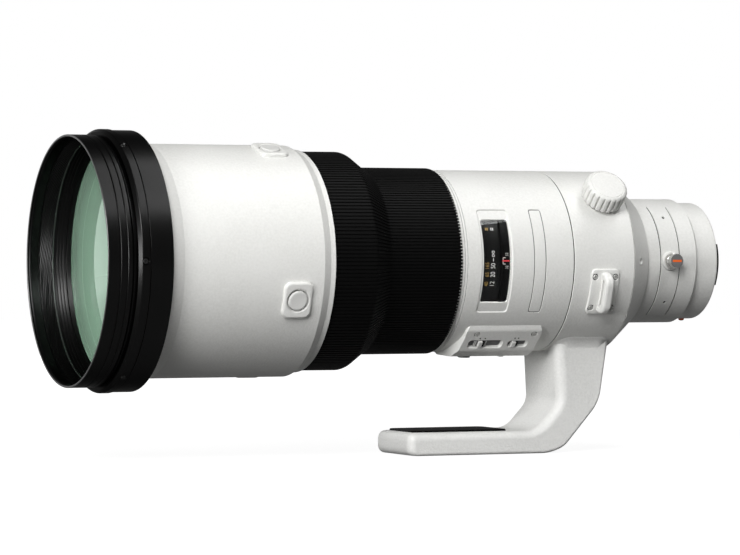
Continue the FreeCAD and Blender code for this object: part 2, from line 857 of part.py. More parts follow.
def facet_place(side, along, across=0.0):
    """Placement on a facet of the panel, local +Z out of it. side 1 is the upper facet."""
    run = number(D.panel_edge_half) - number(D.panel_ridge_half)
    rise = number(panel_ridge_height) - number(panel_edge_height)
    tilt = math.degrees(math.atan2(rise, run))
    centre_half = (number(D.panel_edge_half) + number(D.panel_ridge_half)) / 2
    centre_height = (number(panel_edge_height) + number(panel_ridge_height)) / 2
    lean = FreeCAD.Placement(FreeCAD.Vector(number(along), side * centre_half, centre_height),
                             FreeCAD.Rotation(FreeCAD.Vector(1, 0, 0), -side * tilt))
    return panel_place().multiply(lean).multiply(shift(0, side * number(across), 0))


def control_panel():
    """Faceted panel with three slide switches, a preset button and four screws."""
    body = DOCUMENT.addObject("PartDesign::Body", "panel_body")
    foot = D.rear_barrel_radius - D.panel_foot_sink
    half = [(D.panel_ridge_half, panel_ridge_height), (D.panel_edge_half, panel_edge_height),
            (D.panel_foot_half, foot)]
    corners = half + [(-across, up) for across, up in reversed(half)]
    sketch = outline(body, "panel_section", corners, "YZ_Plane")
    pad = body.newObject("PartDesign::Pad", "panel_pad")
    pad.Profile = sketch
    bind(pad, Length=D.panel_length)
    body.Tip = pad
    body.Placement = panel_place()
    core = axial("panel_core", panel_front - 1, panel_front + D.panel_length + 1, D.rear_barrel_radius)
    tools = [core]
    sliders = (
        ("focus_mode_switch", 1, D.focus_slot_place, D.focus_slot_length, D.focus_slot_width,
         D.focus_slider_length, D.focus_travel),
        ("override_switch", 1, D.override_slot_place, D.override_slot_length, D.override_slot_width,
         D.override_slider_length, D.override_travel),
        ("limiter_switch", -1, D.limiter_slot_place, D.limiter_slot_length, D.limiter_slot_width,
         D.limiter_slider_length, D.limiter_travel),
    )
    for name, side, place, length, width, slider, travel in sliders:
        frame = facet_place(side, place, D.slot_offset)
        slot = block(name + "_slot", -length / 2, length / 2, width, -D.slot_depth, D.slot_depth)
        freely_placed(slot, frame)
        tools.append(slot)
        node(name, slide_switch(name, slider, width, travel), frame)
    frame = facet_place(-1, D.preset_place, D.slot_offset)
    hole = radial("preset_hole", ON_FRAME, -D.preset_hole_depth, D.preset_hole_depth,
                  D.preset_radius + D.slider_clearance)
    freely_placed(hole, frame)
    tools.append(hole)
    button = radial("preset", ON_FRAME, -D.preset_height, D.preset_height, D.preset_radius)
    freely_placed(button, frame)
    node("preset_button", button)
    screws = []
    for side in (1, -1):
        for index, place in enumerate((D.panel_screw_front, D.panel_length - D.panel_screw_rear)):
            frame = facet_place(side, place, D.panel_screw_edge)
            name = f"panel_screw_{side + 1}_{index}"
            hole = radial(name + "_hole", ON_FRAME, -D.panel_screw_depth, D.slot_depth,
                          D.panel_screw_radius)
            screw = radial(name, ON_FRAME, -D.panel_screw_depth, D.screw_proud,
                           D.panel_screw_radius)
            freely_placed(hole, frame)
            freely_placed(screw, frame)
            tools.append(hole)
            screws.append(screw)
    node("control_panel", cut("panel", body, *tools))
    node("panel_screws", group("panel_screw_set", *screws))


def freely_placed(item, frame):
    """Move a primitive from its own place into a frame that isn't square to the axes."""
    DOCUMENT.recompute()
    local = shift(item.Placement.Base.x, item.Placement.Base.y, item.Placement.Base.z)
    for name in ("x", "y", "z"):
        item.setExpression(f"Placement.Base.{name}", None)
    item.Placement = frame.multiply(local)


def slide_switch(name, length, width, travel):
    """Slider of a switch: a plate in its slot at the front end of its travel, with a thumb ridge."""
    low = D.slider_clearance - D.slot_depth
    middle = -(travel / 2)
    base = block(name + "_plate", middle - length / 2, middle + length / 2,
                 width - D.slider_clearance * 2, low, -D.slider_clearance)
    thumb = block(name + "_thumb", middle - length / 4, middle + length / 4,
                  width - D.slider_clearance * 4, -D.slider_clearance, D.slider_height)
    return fuse(name + "_slider", base, thumb)


# Tripod collar, its lock, lugs and foot.

knob_x = cone_front - D.knob_offset
collar_bore = neck_radius + D.running_clearance
shoe_low = neck_radius + D.clamp_shoe_gap
shoe_top = shoe_low + D.clamp_shoe_height


def tripod_collar():
    """White ring that turns on the rear barrel's neck, drilled for the clamp screw."""
    body = ring("collar_ring", collar_front + D.seam / 2, cone_front - D.seam / 2, collar_bore,
                D.rear_barrel_radius)
    hole = radial("clamp_hole", knob_x, neck_radius - 2, D.rear_barrel_radius + 1,
                  D.clamp_screw_radius + 0.05)
    freely_placed(hole, turn_about_axis(D.knob_angle))
    node("tripod_collar", cut("collar", body, hole))


def collar_lock():
    """Fluted knob on a clamp screw that presses a shoe on the neck."""
    low = D.rear_barrel_radius + D.knob_float
    body = DOCUMENT.addObject("PartDesign::Body", "knob_body")
    sketch = circle_sketch(body, "knob_circle", D.knob_radius)
    pad = body.newObject("PartDesign::Pad", "knob_pad")
    pad.Profile = sketch
    bind(pad, Length=D.knob_height)
    flute = circle_sketch(body, "flute_circle", D.flute_radius, D.knob_radius + D.flute_radius / 3)
    pocket = body.newObject("PartDesign::Pocket", "flute_cut")
    pocket.Profile = flute
    pocket.Reversed = True
    bind(pocket, Length=D.knob_height * 0.82)
    DOCUMENT.recompute()
    pattern = body.newObject("PartDesign::PolarPattern", "flutes")
    pattern.Originals = [pocket]
    pattern.Axis = ([item for item in body.Origin.OriginFeatures if item.Role == "Z_Axis"][0], [""])
    pattern.Angle = 360
    bind(pattern, Occurrences=D.flute_count)
    body.Tip = pattern
    place = turn_about_axis(D.knob_angle)
    body.Placement = place.multiply(shift(knob_x, 0, low))
    screw_top = shoe_top + D.clamp_screw_length
    socket = radial("knob_socket", knob_x, low - 1, screw_top, D.clamp_screw_radius)
    freely_placed(socket, place)
    node("lock_knob", cut("knob", body, socket))
    node("clamp_screw", radial_at("screw", knob_x, shoe_top, screw_top, D.clamp_screw_radius, place))
    node("clamp_shoe", radial_at("shoe", knob_x, shoe_low, shoe_top, D.clamp_screw_radius - 0.1, place))


def radial_at(name, x, low, high, radius, place):
    """Radial cylinder turned to its angle."""
    item = radial(name, x, low, high, radius)
    freely_placed(item, place)
    return item


def circle_sketch(body, name, radius, x=0.0):
    """Circle on the body's own XY plane, with its centre at a distance along X."""
    sketch = body.newObject("Sketcher::SketchObject", name)
    plane = [item for item in body.Origin.OriginFeatures if item.Role == "XY_Plane"][0]
    sketch.AttachmentSupport = [(plane, "")]
    sketch.MapMode = "FlatFace"
    centre = FreeCAD.Vector(number(x), 0, 0)
    sketch.addGeometry(Part.Circle(centre, FreeCAD.Vector(0, 0, 1), number(radius)), False)
    size = sketch.addConstraint(Sketcher.Constraint("Radius", 0, number(radius)))
    sketch.setExpression(f"Constraints[{size}]", radius.text)
    sketch.addConstraint(Sketcher.Constraint("DistanceY", -1, 1, 0, 3, 0.0))
    along = sketch.addConstraint(Sketcher.Constraint("DistanceX", -1, 1, 0, 3, number(x)))
    if hasattr(x, "text"):
        sketch.setExpression(f"Constraints[{along}]", x.text)
    return sketch


def strap_lugs():
    """Two lugs: a curved plate with a strap bar that stands out over a slot, and four screws each."""
    lug_x = cone_front - D.lug_offset
    plate_top = D.rear_barrel_radius + D.lug_plate_thickness
    slot_low = plate_top + D.lug_slot_rise
    slot_top = slot_low + D.lug_slot_height
    bar_top = slot_top + D.lug_bar_thickness
    lugs = []
    screws = []
    for side, angle in enumerate((number(D.lug_angle), 180 - number(D.lug_angle))):
        plate = ring(f"lug_plate_{side}", lug_x - D.lug_plate_length / 2, lug_x + D.lug_plate_length / 2,
                     D.rear_barrel_radius, plate_top, D.lug_plate_angle)
        arch = ring(f"lug_arch_{side}", lug_x - D.lug_bar_width / 2, lug_x + D.lug_bar_width / 2,
                    plate_top - D.lug_plate_thickness / 2, bar_top, D.lug_bar_angle)
        slot = ring(f"lug_slot_{side}", lug_x - D.lug_bar_width, lug_x + D.lug_bar_width, slot_low,
                    slot_top, D.lug_slot_angle)
        lug = fuse(f"lug_solid_{side}", plate, cut(f"lug_bar_{side}", arch, slot))
        tools = []
        for index, (along, lean) in enumerate(((-1, -1), (1, -1), (-1, 1), (1, 1))):
            x = lug_x + along * D.lug_screw_spacing / 2
            place = turn_about_axis(angle + lean * number(D.lug_screw_angle) / 2)
            low = D.rear_barrel_radius + D.lug_plate_thickness / 3
            tools.append(radial_at(f"lug_hole_{side}_{index}", x, low, bar_top, D.lug_screw_radius, place))
            screws.append(radial_at(f"lug_screw_{side}_{index}", x, low, plate_top + D.screw_proud,
                                    D.lug_screw_radius, place))
        lug.Placement = turn_about_axis(angle)
        lugs.append(cut(f"lug_{side}", lug, *tools))
    node("strap_lugs", group("lug_pair", *lugs))
    node("strap_lug_screws", group("lug_screw_set", *screws))


def tripod_foot():
    """Long foot on a post below the collar, with two threaded holes and a rubber pad on top."""
    bottom = -D.rear_barrel_radius - D.foot_drop
    top = bottom + D.foot_thickness
    front = cone_front - D.foot_lead
    post_rear = cone_front - D.post_inset
    post_front = post_rear - D.post_length
    post_top = D.post_overlap - D.rear_barrel_radius
    body = DOCUMENT.addObject("PartDesign::Body", "foot_body")
    sketch = outline(body, "foot_side", [
        (front, bottom),
        (cone_front - D.foot_toe_lead, bottom),
        (cone_front - D.foot_heel_lead, bottom + D.foot_heel_rise),
        (cone_front - D.foot_back_lead, bottom + D.foot_back_rise),
        (post_rear, post_top),
        (post_front, post_top),
        (post_front, bottom + D.post_bend_rise),
        (cone_front - D.post_bend_lead, top),
        (front, top),
    ], "XZ_Plane")
    pad = body.newObject("PartDesign::Pad", "foot_pad_feature")
    pad.Profile = sketch
    pad.Midplane = True
    bind(pad, Length=D.foot_width)
    body.Tip = pad
    DOCUMENT.recompute()
    fillet = body.newObject("PartDesign::Fillet", "foot_rounding")
    fillet.Base = (pad, side_edges(pad.Shape, number(D.foot_width) / 2, number(post_top) - 1))
    bind(fillet, Radius=D.foot_round)
    body.Tip = fillet
    core = axial("foot_saddle", front, cone_front, D.rear_barrel_radius)
    large = radial("large_thread", front + D.large_thread_place, bottom - 1, bottom + D.thread_depth,
                   D.large_thread_radius)
    small = radial("small_thread", front + D.small_thread_place, bottom - 1, bottom + D.thread_depth,
                   D.small_thread_radius)
    node("tripod_foot", cut("foot", body, core, large, small))
    rubber = block("rubber", front + D.pad_front_gap, cone_front - D.post_bend_lead - D.pad_rear_gap,
                   D.pad_width, top, top + D.pad_thickness)
    node("foot_pad", rubber)


def side_edges(shape, half_width, ceiling):
    """Names of the edges that lie in the two side faces and stay below a height."""
    names = []
    for index, edge in enumerate(shape.Edges, start=1):
        box = edge.BoundBox
        flat = box.YLength < 0.001 and abs(abs(box.YMin) - half_width) < 0.001
        if flat and box.ZMin < ceiling:
            names.append(f"Edge{index}")
    return names


# Iris, rear lenses and the lever that the camera moves.

iris_front = collar_front - D.iris_offset
blade_floor = iris_front + D.iris_plate_thickness + D.blade_pitch
lever_rear = -D.lever_end_gap


def iris():
    """Nine blades on pins in the base plate, each in its own plane, and the ring that drives them."""
    plate_back = iris_front + D.iris_plate_thickness
    base = turned("iris_plate", [
        (iris_front, iris_bore),
        (iris_front, tube_bore),
        (plate_back, tube_bore),
        (plate_back, iris_rim_radius),
        (plate_back + D.iris_rim_length, iris_rim_radius),
        (plate_back + D.iris_rim_length, iris_rim_bore),
        (plate_back, iris_rim_bore),
        (plate_back, iris_bore),
    ])
    pin_front = iris_front + D.blade_pitch
    holes = []
    for index in range(BLADES):
        place = turn_about_axis(index * 360.0 / BLADES)
        hole = axial(f"blade_hole_{index}", pin_front - D.blade_pitch / 2, plate_back + 1,
                     D.blade_pin_radius + D.blade_pin_clearance, z=blade_pin_circle)
        hole.setExpression("Placement.Base.x", None)
        hole.Placement = place.multiply(hole.Placement)
        holes.append(hole)
        front = blade_floor + index * D.blade_pitch
        node(f"iris_blade_{index + 1}", blade(index, front, pin_front), place)
    node("iris_base", cut("iris_base_plate", base, *holes))


def blade(index, front, pin_front):
    """Crescent with an ear and a pin at its end."""
    back = front + D.blade_thickness
    arc = ring(f"crescent_{index}", front, back, blade_inner_radius, blade_outer_radius, D.blade_span)
    lean = number(D.blade_span) / 2 - number(D.blade_lean)
    arc.Placement = FreeCAD.Placement(FreeCAD.Vector(), FreeCAD.Rotation(FreeCAD.Vector(1, 0, 0), lean))
    ear = axial(f"ear_{index}", front, back, D.blade_ear_radius, z=blade_pin_circle)
    pin = axial(f"blade_pin_{index}", pin_front, back, D.blade_pin_radius, z=blade_pin_circle)
    return fuse(f"blade_{index}", arc, ear, pin)


def iris_ring():
    """Ring behind the blades with a long lever that reaches into the camera mount."""
    front = blade_floor + BLADES * D.blade_pitch + D.blade_pitch
    back = front + D.iris_ring_thickness
    disc = ring("iris_disc", front, back, iris_bore + 1, iris_rim_bore - D.running_clearance)
    rod = axial("lever_rod", back - D.lever_rod_overlap, lever_rear, D.lever_radius, z=lever_circle)
    arm = block("lever_arm", lever_rear - D.lever_radius, lever_rear + D.lever_radius,
                D.lever_radius * 2, lever_tip_circle, lever_circle + D.lever_radius)
    tip = axial("lever_tip", lever_rear, lever_rear + D.lever_tip_length, D.lever_radius,
                z=lever_tip_circle + D.lever_radius)
    node("iris_ring", fuse("iris_lever", disc, rod, arm, tip), turn_about_axis(D.lever_angle))


def lever_slot(name, front, rear):
    """Sector that clears the lever over its whole sweep."""
    margin = D.lever_radius * 1.5
    tool = ring(name, front, rear, lever_circle - margin, lever_circle + margin,
                D.lever_sweep + D.lever_slot_margin * 2)
    tool.Placement = turn_about_axis(number(D.lever_angle) + number(D.lever_sweep) / 2)
    return tool


spigot_end = cone_front - D.housing_spigot


def rear_optics():
    """Cell with two rear lenses, clamped in the neck by the housing's spigot."""
    flange_front = spigot_end - D.rear_cell_flange
    front = flange_front - D.rear_cell_front
    rear = spigot_end + D.rear_cell_rear
    bore = rear_cell_radius - D.rear_cell_wall
    body = turned("rear_cell_body", [
        (front, bore),
        (front, rear_cell_radius),
        (flange_front, rear_cell_radius),
        (flange_front, neck_bore - 0.1),
        (spigot_end, neck_bore - 0.1),
        (spigot_end, rear_cell_radius),
        (rear, rear_cell_radius),
        (rear, bore),
    ])
    slot = lever_slot("cell_slot", flange_front - 1, spigot_end + 1)
    node("rear_lens_cell", cut("rear_cell", body, slot))
    glass = bore - D.glass_fit
    front_edge = front + D.rear_lens_inset + D.rear_lens_sag
    rear_edge = rear - D.rear_lens_inset - D.rear_lens_sag
    first = lens("rear_first", front_edge, front_edge + D.rear_lens_edge, glass, D.rear_lens_sag,
                 D.rear_lens_sag / 2)
    last = lens("rear_last", rear_edge - D.rear_lens_edge, rear_edge, glass, D.rear_lens_sag / 2,
                D.rear_lens_sag)
    node("rear_lenses", group("rear_lens_pair", first, last))


drawer_rear = ring_front - D.drawer_offset
drawer_front = drawer_rear - D.drawer_length
housing_bore = filter_radius - D.housing_wall
frame_half_height = housing_bore * D.frame_share
bulkhead_bore = frame_half_height
filter_glass_radius = frame_half_height - D.filter_glass_step
cover_inner = filter_radius - D.drawer_cover_thickness


def rear_housing():
    """Cone and filter section behind the collar, with two bulkheads that guide the filter drawer."""
    shell = turned("housing_shell", [
        (ring_front, filter_radius - D.housing_chamfer),
        (ring_front - D.housing_chamfer, filter_radius),
        (filter_front, filter_radius),
        (filter_front, cone_small_radius),
        (cone_front, D.rear_barrel_radius),
        (cone_front, neck_bore - 0.05),
        (spigot_end, neck_bore - 0.05),
        (spigot_end, neck_bore - D.housing_wall),
        (cone_front + D.housing_wall, neck_bore - D.housing_wall),
        (filter_front, housing_bore),
        (ring_front, housing_bore),
    ])
    frame_front = drawer_front + D.frame_margin - D.frame_clearance
    frame_rear = drawer_rear - D.frame_margin + D.frame_clearance
    lip = housing_bore + 0.2
    walls = [ring("bulkhead_front", frame_front - D.bulkhead_thickness, frame_front, bulkhead_bore, lip),
             ring("bulkhead_rear", frame_rear, frame_rear + D.bulkhead_thickness, bulkhead_bore, lip)]
    whole = fuse("housing_whole", shell, *walls)
    seat = ring("cover_seat", drawer_front - D.drawer_gap, drawer_rear + D.drawer_gap, cover_inner - D.drawer_gap,
                filter_radius + 1, D.drawer_cover_angle + 0.5)
    slot = block("drawer_slot", frame_front, frame_rear, frame_half_height * 2 + D.frame_clearance * 2,
                 D.frame_clearance, filter_radius + 2)
    clear = lever_slot("housing_slot", frame_front - D.bulkhead_thickness - 1,
                       frame_rear + D.bulkhead_thickness + 1)
    pocket = radial("cone_hole", filter_front - D.cone_length * 0.55, D.rear_barrel_radius * 0.85,
                    D.rear_barrel_radius, D.cone_hole_radius)
    tools = [facing_near_side(seat), clear]
    freely_placed(slot, turn_about_axis(NEAR_SIDE))
    freely_placed(pocket, turn_about_axis(NEAR_SIDE))
    node("rear_housing", cut("housing", whole, *tools, slot, pocket))


def filter_drawer():
    """Drop-in filter holder: curved cover, frame with the filter glass, and the turning lock knob."""
    frame_front = drawer_front + D.frame_margin
    frame_rear = drawer_rear - D.frame_margin
    middle = (drawer_front + drawer_rear) / 2
    cover = ring("cover", drawer_front, drawer_rear, cover_inner, filter_radius, D.drawer_cover_angle)
    frame = block("frame", frame_front, frame_rear, frame_half_height * 2,
                  D.frame_clearance - frame_half_height, frame_half_height)
    neck = block("frame_neck", frame_front + 1, frame_rear - 1, D.neck_block_half * 2,
                 frame_half_height - 1, cover_inner + D.drawer_cover_thickness / 2)
    boss_top = filter_radius + D.filter_boss_height
    boss = radial("boss", middle, cover_inner + 0.5, boss_top, D.filter_boss_radius)
    whole = fuse("drawer_whole", cover, frame, neck, boss)
    bore = axial("filter_bore", frame_front - 1, frame_rear + 1, filter_glass_radius)
    stem_low = boss_top - D.filter_stem_length
    well = radial("stem_well", middle, stem_low - 0.2, boss_top + 1, D.filter_stem_radius + 0.05)
    node("filter_drawer", cut("drawer", whole, bore, well), turn_about_axis(NEAR_SIDE))
    node("filter_glass", axial("filter_pane", middle - D.filter_glass_thickness / 2,
                               middle + D.filter_glass_thickness / 2, filter_glass_radius))
    knob_low = boss_top
    knob_top = knob_low + D.filter_knob_height
    grip = radial("filter_grip", middle, knob_low, knob_top, D.filter_knob_radius)
    cap = radial("filter_cap", middle, knob_top, knob_top + D.filter_cap_height, D.filter_cap_radius)
    stem = radial("filter_stem", middle, stem_low, knob_low, D.filter_stem_radius)
    node("filter_knob", fuse("filter_turn", grip, cap, stem), turn_about_axis(NEAR_SIDE))


# Rear ring and the bayonet.

def rear_ring():
    """White ring that carries the bayonet, with a rounded rear edge and a raised index dot."""
    round_start = D.bayonet_thickness * 1.6
    seat = bayonet_flange_radius + D.glass_fit
    web_front = -D.bayonet_thickness - D.bayonet_web
    body = turned("ring_shell", [
        (ring_front, ring_bore),
        (ring_front, rear_ring_radius),
        (-round_start, rear_ring_radius),
        (-D.bayonet_thickness * 0.6, rear_ring_radius - D.bayonet_thickness * 0.4),
        (-D.bayonet_thickness / 4, rear_ring_radius - D.bayonet_thickness * 0.8),
        (-D.bayonet_thickness / 4, seat),
        (-D.bayonet_thickness, seat),
        (-D.bayonet_thickness, D.register_radius + 1),
        (web_front, D.register_radius + 1),
        (web_front, ring_bore),
    ])
    place = turn_about_axis(BOTTOM)
    low = rear_ring_radius - D.index_dot_depth
    dot_x = -D.index_dot_place
    well = radial_at("dot_well", dot_x, low, rear_ring_radius + 2, D.index_dot_radius, place)
    node("rear_ring", cut("rear_ring_body", body, well))
    node("index_dot", radial_at("dot", dot_x, low, rear_ring_radius + D.index_dot_proud,
                                D.index_dot_radius, place))


def bayonet():
    """Metal mount: flange with six screws, register and three claws, and the contact block inside."""
    flange = turned("mount_flange", [
        (-D.bayonet_thickness - D.bayonet_web, throat_radius),
        (-D.bayonet_thickness - D.bayonet_web, D.register_radius),
        (-D.bayonet_thickness, D.register_radius),
        (-D.bayonet_thickness, bayonet_flange_radius),
        (ON_FRAME, bayonet_flange_radius),
        (ON_FRAME, D.register_radius),
        (D.bayonet_reach, D.register_radius),
        (D.bayonet_reach, throat_radius),
    ])
    claws = []
    for index in range(CLAWS):
        claw = ring(f"claw_{index}", D.bayonet_reach - D.claw_thickness, D.bayonet_reach,
                    D.register_radius - 1, claw_radius, D.claw_angle)
        claw.Placement = turn_about_axis(30 + index * 360.0 / CLAWS)
        claws.append(claw)
    whole = fuse("mount_whole", flange, *claws)
    holes = []
    screws = []
    for index in range(BAYONET_SCREWS):
        place = turn_about_axis(TOP + index * 360.0 / BAYONET_SCREWS)
        for kind, front, rear in (("hole", -D.bayonet_thickness * 0.7, D.bayonet_thickness),
                                  ("head", -D.bayonet_thickness * 0.7, -D.screw_proud / 2)):
            item = axial(f"mount_{kind}_{index}", front, rear, D.bayonet_screw_radius,
                         z=bayonet_screw_circle)
            item.setExpression("Placement.Base.x", None)
            item.Placement = place.multiply(item.Placement)
            (holes if kind == "hole" else screws).append(item)
    node("bayonet", cut("mount", whole, *holes))
    node("bayonet_screws", group("mount_screws", *screws))
    rear = D.contact_block_length - D.bayonet_thickness - D.bayonet_web
    contacts = ring("contacts", -D.bayonet_thickness - D.bayonet_web, rear,
                    throat_radius - D.contact_block_height, throat_radius, D.contact_block_angle)
    node("contact_block", contacts, turn_about_axis(BOTTOM))


def check(item):
    """Stop if an object failed or a sub-part has no valid shape."""
    if "Invalid" in item.State or "Error" in item.State:
        raise RuntimeError(f"{item.Label} failed: {item.State}")
    if item in NODES and (item.Shape.isNull() or not item.Shape.isValid() or not item.Shape.Solids):
        raise RuntimeError(f"{item.Label} has no valid solid")


front_rim()
hood_band()
front_barrel()
hold_buttons()
front_optics()
focus_ring()
inner_tube()
ring_motor()
focusing_cell()
rear_barrel()
distance_window()
control_panel()
tripod_collar()
collar_lock()
strap_lugs()
tripod_foot()
iris()
iris_ring()
rear_optics()
rear_housing()
filter_drawer()
rear_ring()
bayonet()
DOCUMENT.recompute()

for thing in DOCUMENT.Objects:
    check(thing)
os.makedirs("parts", exist_ok=True)
for item in NODES:
    item.Shape.exportStep(os.path.join("parts", item.Label + ".step"))
    box = item.Shape.BoundBox
    print(f"{item.Label:22s} solids {len(item.Shape.Solids)} volume {item.Shape.Volume:10.1f} "
          f"x {box.XMin:.1f} {box.XMax:.1f} y {box.YMin:.1f} {box.YMax:.1f} z {box.ZMin:.1f} {box.ZMax:.1f}")
print(len(NODES), "nodes")
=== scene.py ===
"""Looks of the long telephoto lens: fine surfaces, finishes, marks, camera, floor and light."""

import math

import bmesh
import bpy
import numpy as np
from mathutils import Matrix


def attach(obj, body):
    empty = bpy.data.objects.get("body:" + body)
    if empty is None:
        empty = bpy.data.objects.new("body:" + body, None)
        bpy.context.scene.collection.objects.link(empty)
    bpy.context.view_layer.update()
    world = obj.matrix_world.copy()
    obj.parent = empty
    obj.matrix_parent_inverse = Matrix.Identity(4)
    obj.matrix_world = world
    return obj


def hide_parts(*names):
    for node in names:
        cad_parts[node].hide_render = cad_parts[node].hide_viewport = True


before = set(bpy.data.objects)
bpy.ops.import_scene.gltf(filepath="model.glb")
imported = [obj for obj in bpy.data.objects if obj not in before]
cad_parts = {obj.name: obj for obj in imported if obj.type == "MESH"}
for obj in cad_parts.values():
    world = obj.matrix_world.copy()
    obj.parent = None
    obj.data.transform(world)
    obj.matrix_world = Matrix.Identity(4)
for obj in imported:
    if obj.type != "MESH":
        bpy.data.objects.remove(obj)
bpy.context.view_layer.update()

MM = 0.001
FULL_TURN = np.arange(0, 360, 1.5)
FINISHES = {}

# Radii from the axis and places along it from the flange plane that several pieces share.
# Lengths are millimetres, angles degrees: 0 is the near side, 90 the top.
BARREL = 50.0
FRONT_BARREL = 62.5
INDEX_PLATE = 48.62
HOLD_PLACE = -265.4
HOLD_ANGLES = range(-19, 341, 90)
COLLAR_REAR = -61.2
COLLAR_SCREW = -75.4
COLLAR_SCREW_ANGLE = 43.0
LUG_PLACE = -79.4
FILTER_PLACE = -31.2
FOOT_BASE = -106.0


# Shapes.

def around(x, radius, angle):
    """Points from a place along the axis, a distance from the axis and an angle round it."""
    turn = np.radians(angle)
    return np.stack(np.broadcast_arrays(x, -radius * np.cos(turn), radius * np.sin(turn)), axis=-1)


def eased(corners, steps=5):
    """Outline from (across, up, ease) corners: each corner becomes the quadratic curve that
    starts and ends its ease away from the corner; one without an ease stays sharp."""
    table = np.array([(*corner, 0)[:3] for corner in corners], float)
    points, ease = table[:, :2], table[:, 2]
    share = np.linspace(0, 1, steps + 1)[None, :, None]
    toward = []
    for step in (1, -1):
        gap = np.roll(points, step, axis=0) - points
        length = np.linalg.norm(gap, axis=1, keepdims=True)
        toward.append((points + gap / np.maximum(length, 1e-9) * ease[:, None])[:, None])
    middle = points[:, None]
    curve = (1 - share) ** 2 * toward[0] + 2 * share * (1 - share) * middle + share ** 2 * toward[1]
    keep = np.ones(curve.shape[:2], bool)
    keep[ease == 0, 1:] = False
    return curve[keep]


def turned(profile):
    """Grid of a profile of places and radii carried round the axis."""
    return around(profile[:, :1], profile[:, 1:2], FULL_TURN[None, :])


def rounded_box(half_u, half_v, corner, fill=1, inset=0):
    """Closed outline of a rounded rectangle set in from its full size, and its first long side. The
    two long sides mirror each other, so that straight rows can close it: side, end, other side,
    other end."""
    half_u, half_v, corner = half_u - inset, half_v - inset, max(corner - inset, 0.05)
    arc = np.radians(np.linspace(-90, 0, 6))
    low = np.stack([half_u - corner + corner * np.cos(arc), corner - half_v + corner * np.sin(arc)], 1)
    between = np.linspace(corner - half_v, half_v - corner, fill + 2)[1:-1]
    straight = np.stack([np.full(fill, half_u), between], 1)
    side = np.concatenate([low, straight, low[::-1] * (1, -1)])
    share = np.array([0.5, 0.0, -0.5])
    end = np.stack([share * (half_u - corner), np.full(3, half_v)], 1)
    return np.concatenate([side, end, side[::-1] * (-1, 1), -end]), side


def rims(half_u, half_v, corner, layers, place, fill=1):
    """Rounded rectangles one over another: each layer gives how far one is set in and how high it
    lies."""
    rows = []
    for inset, height in layers:
        line, _ = rounded_box(half_u, half_v, corner, fill, inset)
        rows.append(place(line[:, 0], line[:, 1], height))
    return rows


def wheel(place, radius, turn, height):
    """Points of a frame from a distance from its w axis, a turn round that axis and a height."""
    return place(radius * np.cos(turn), radius * np.sin(turn), height)


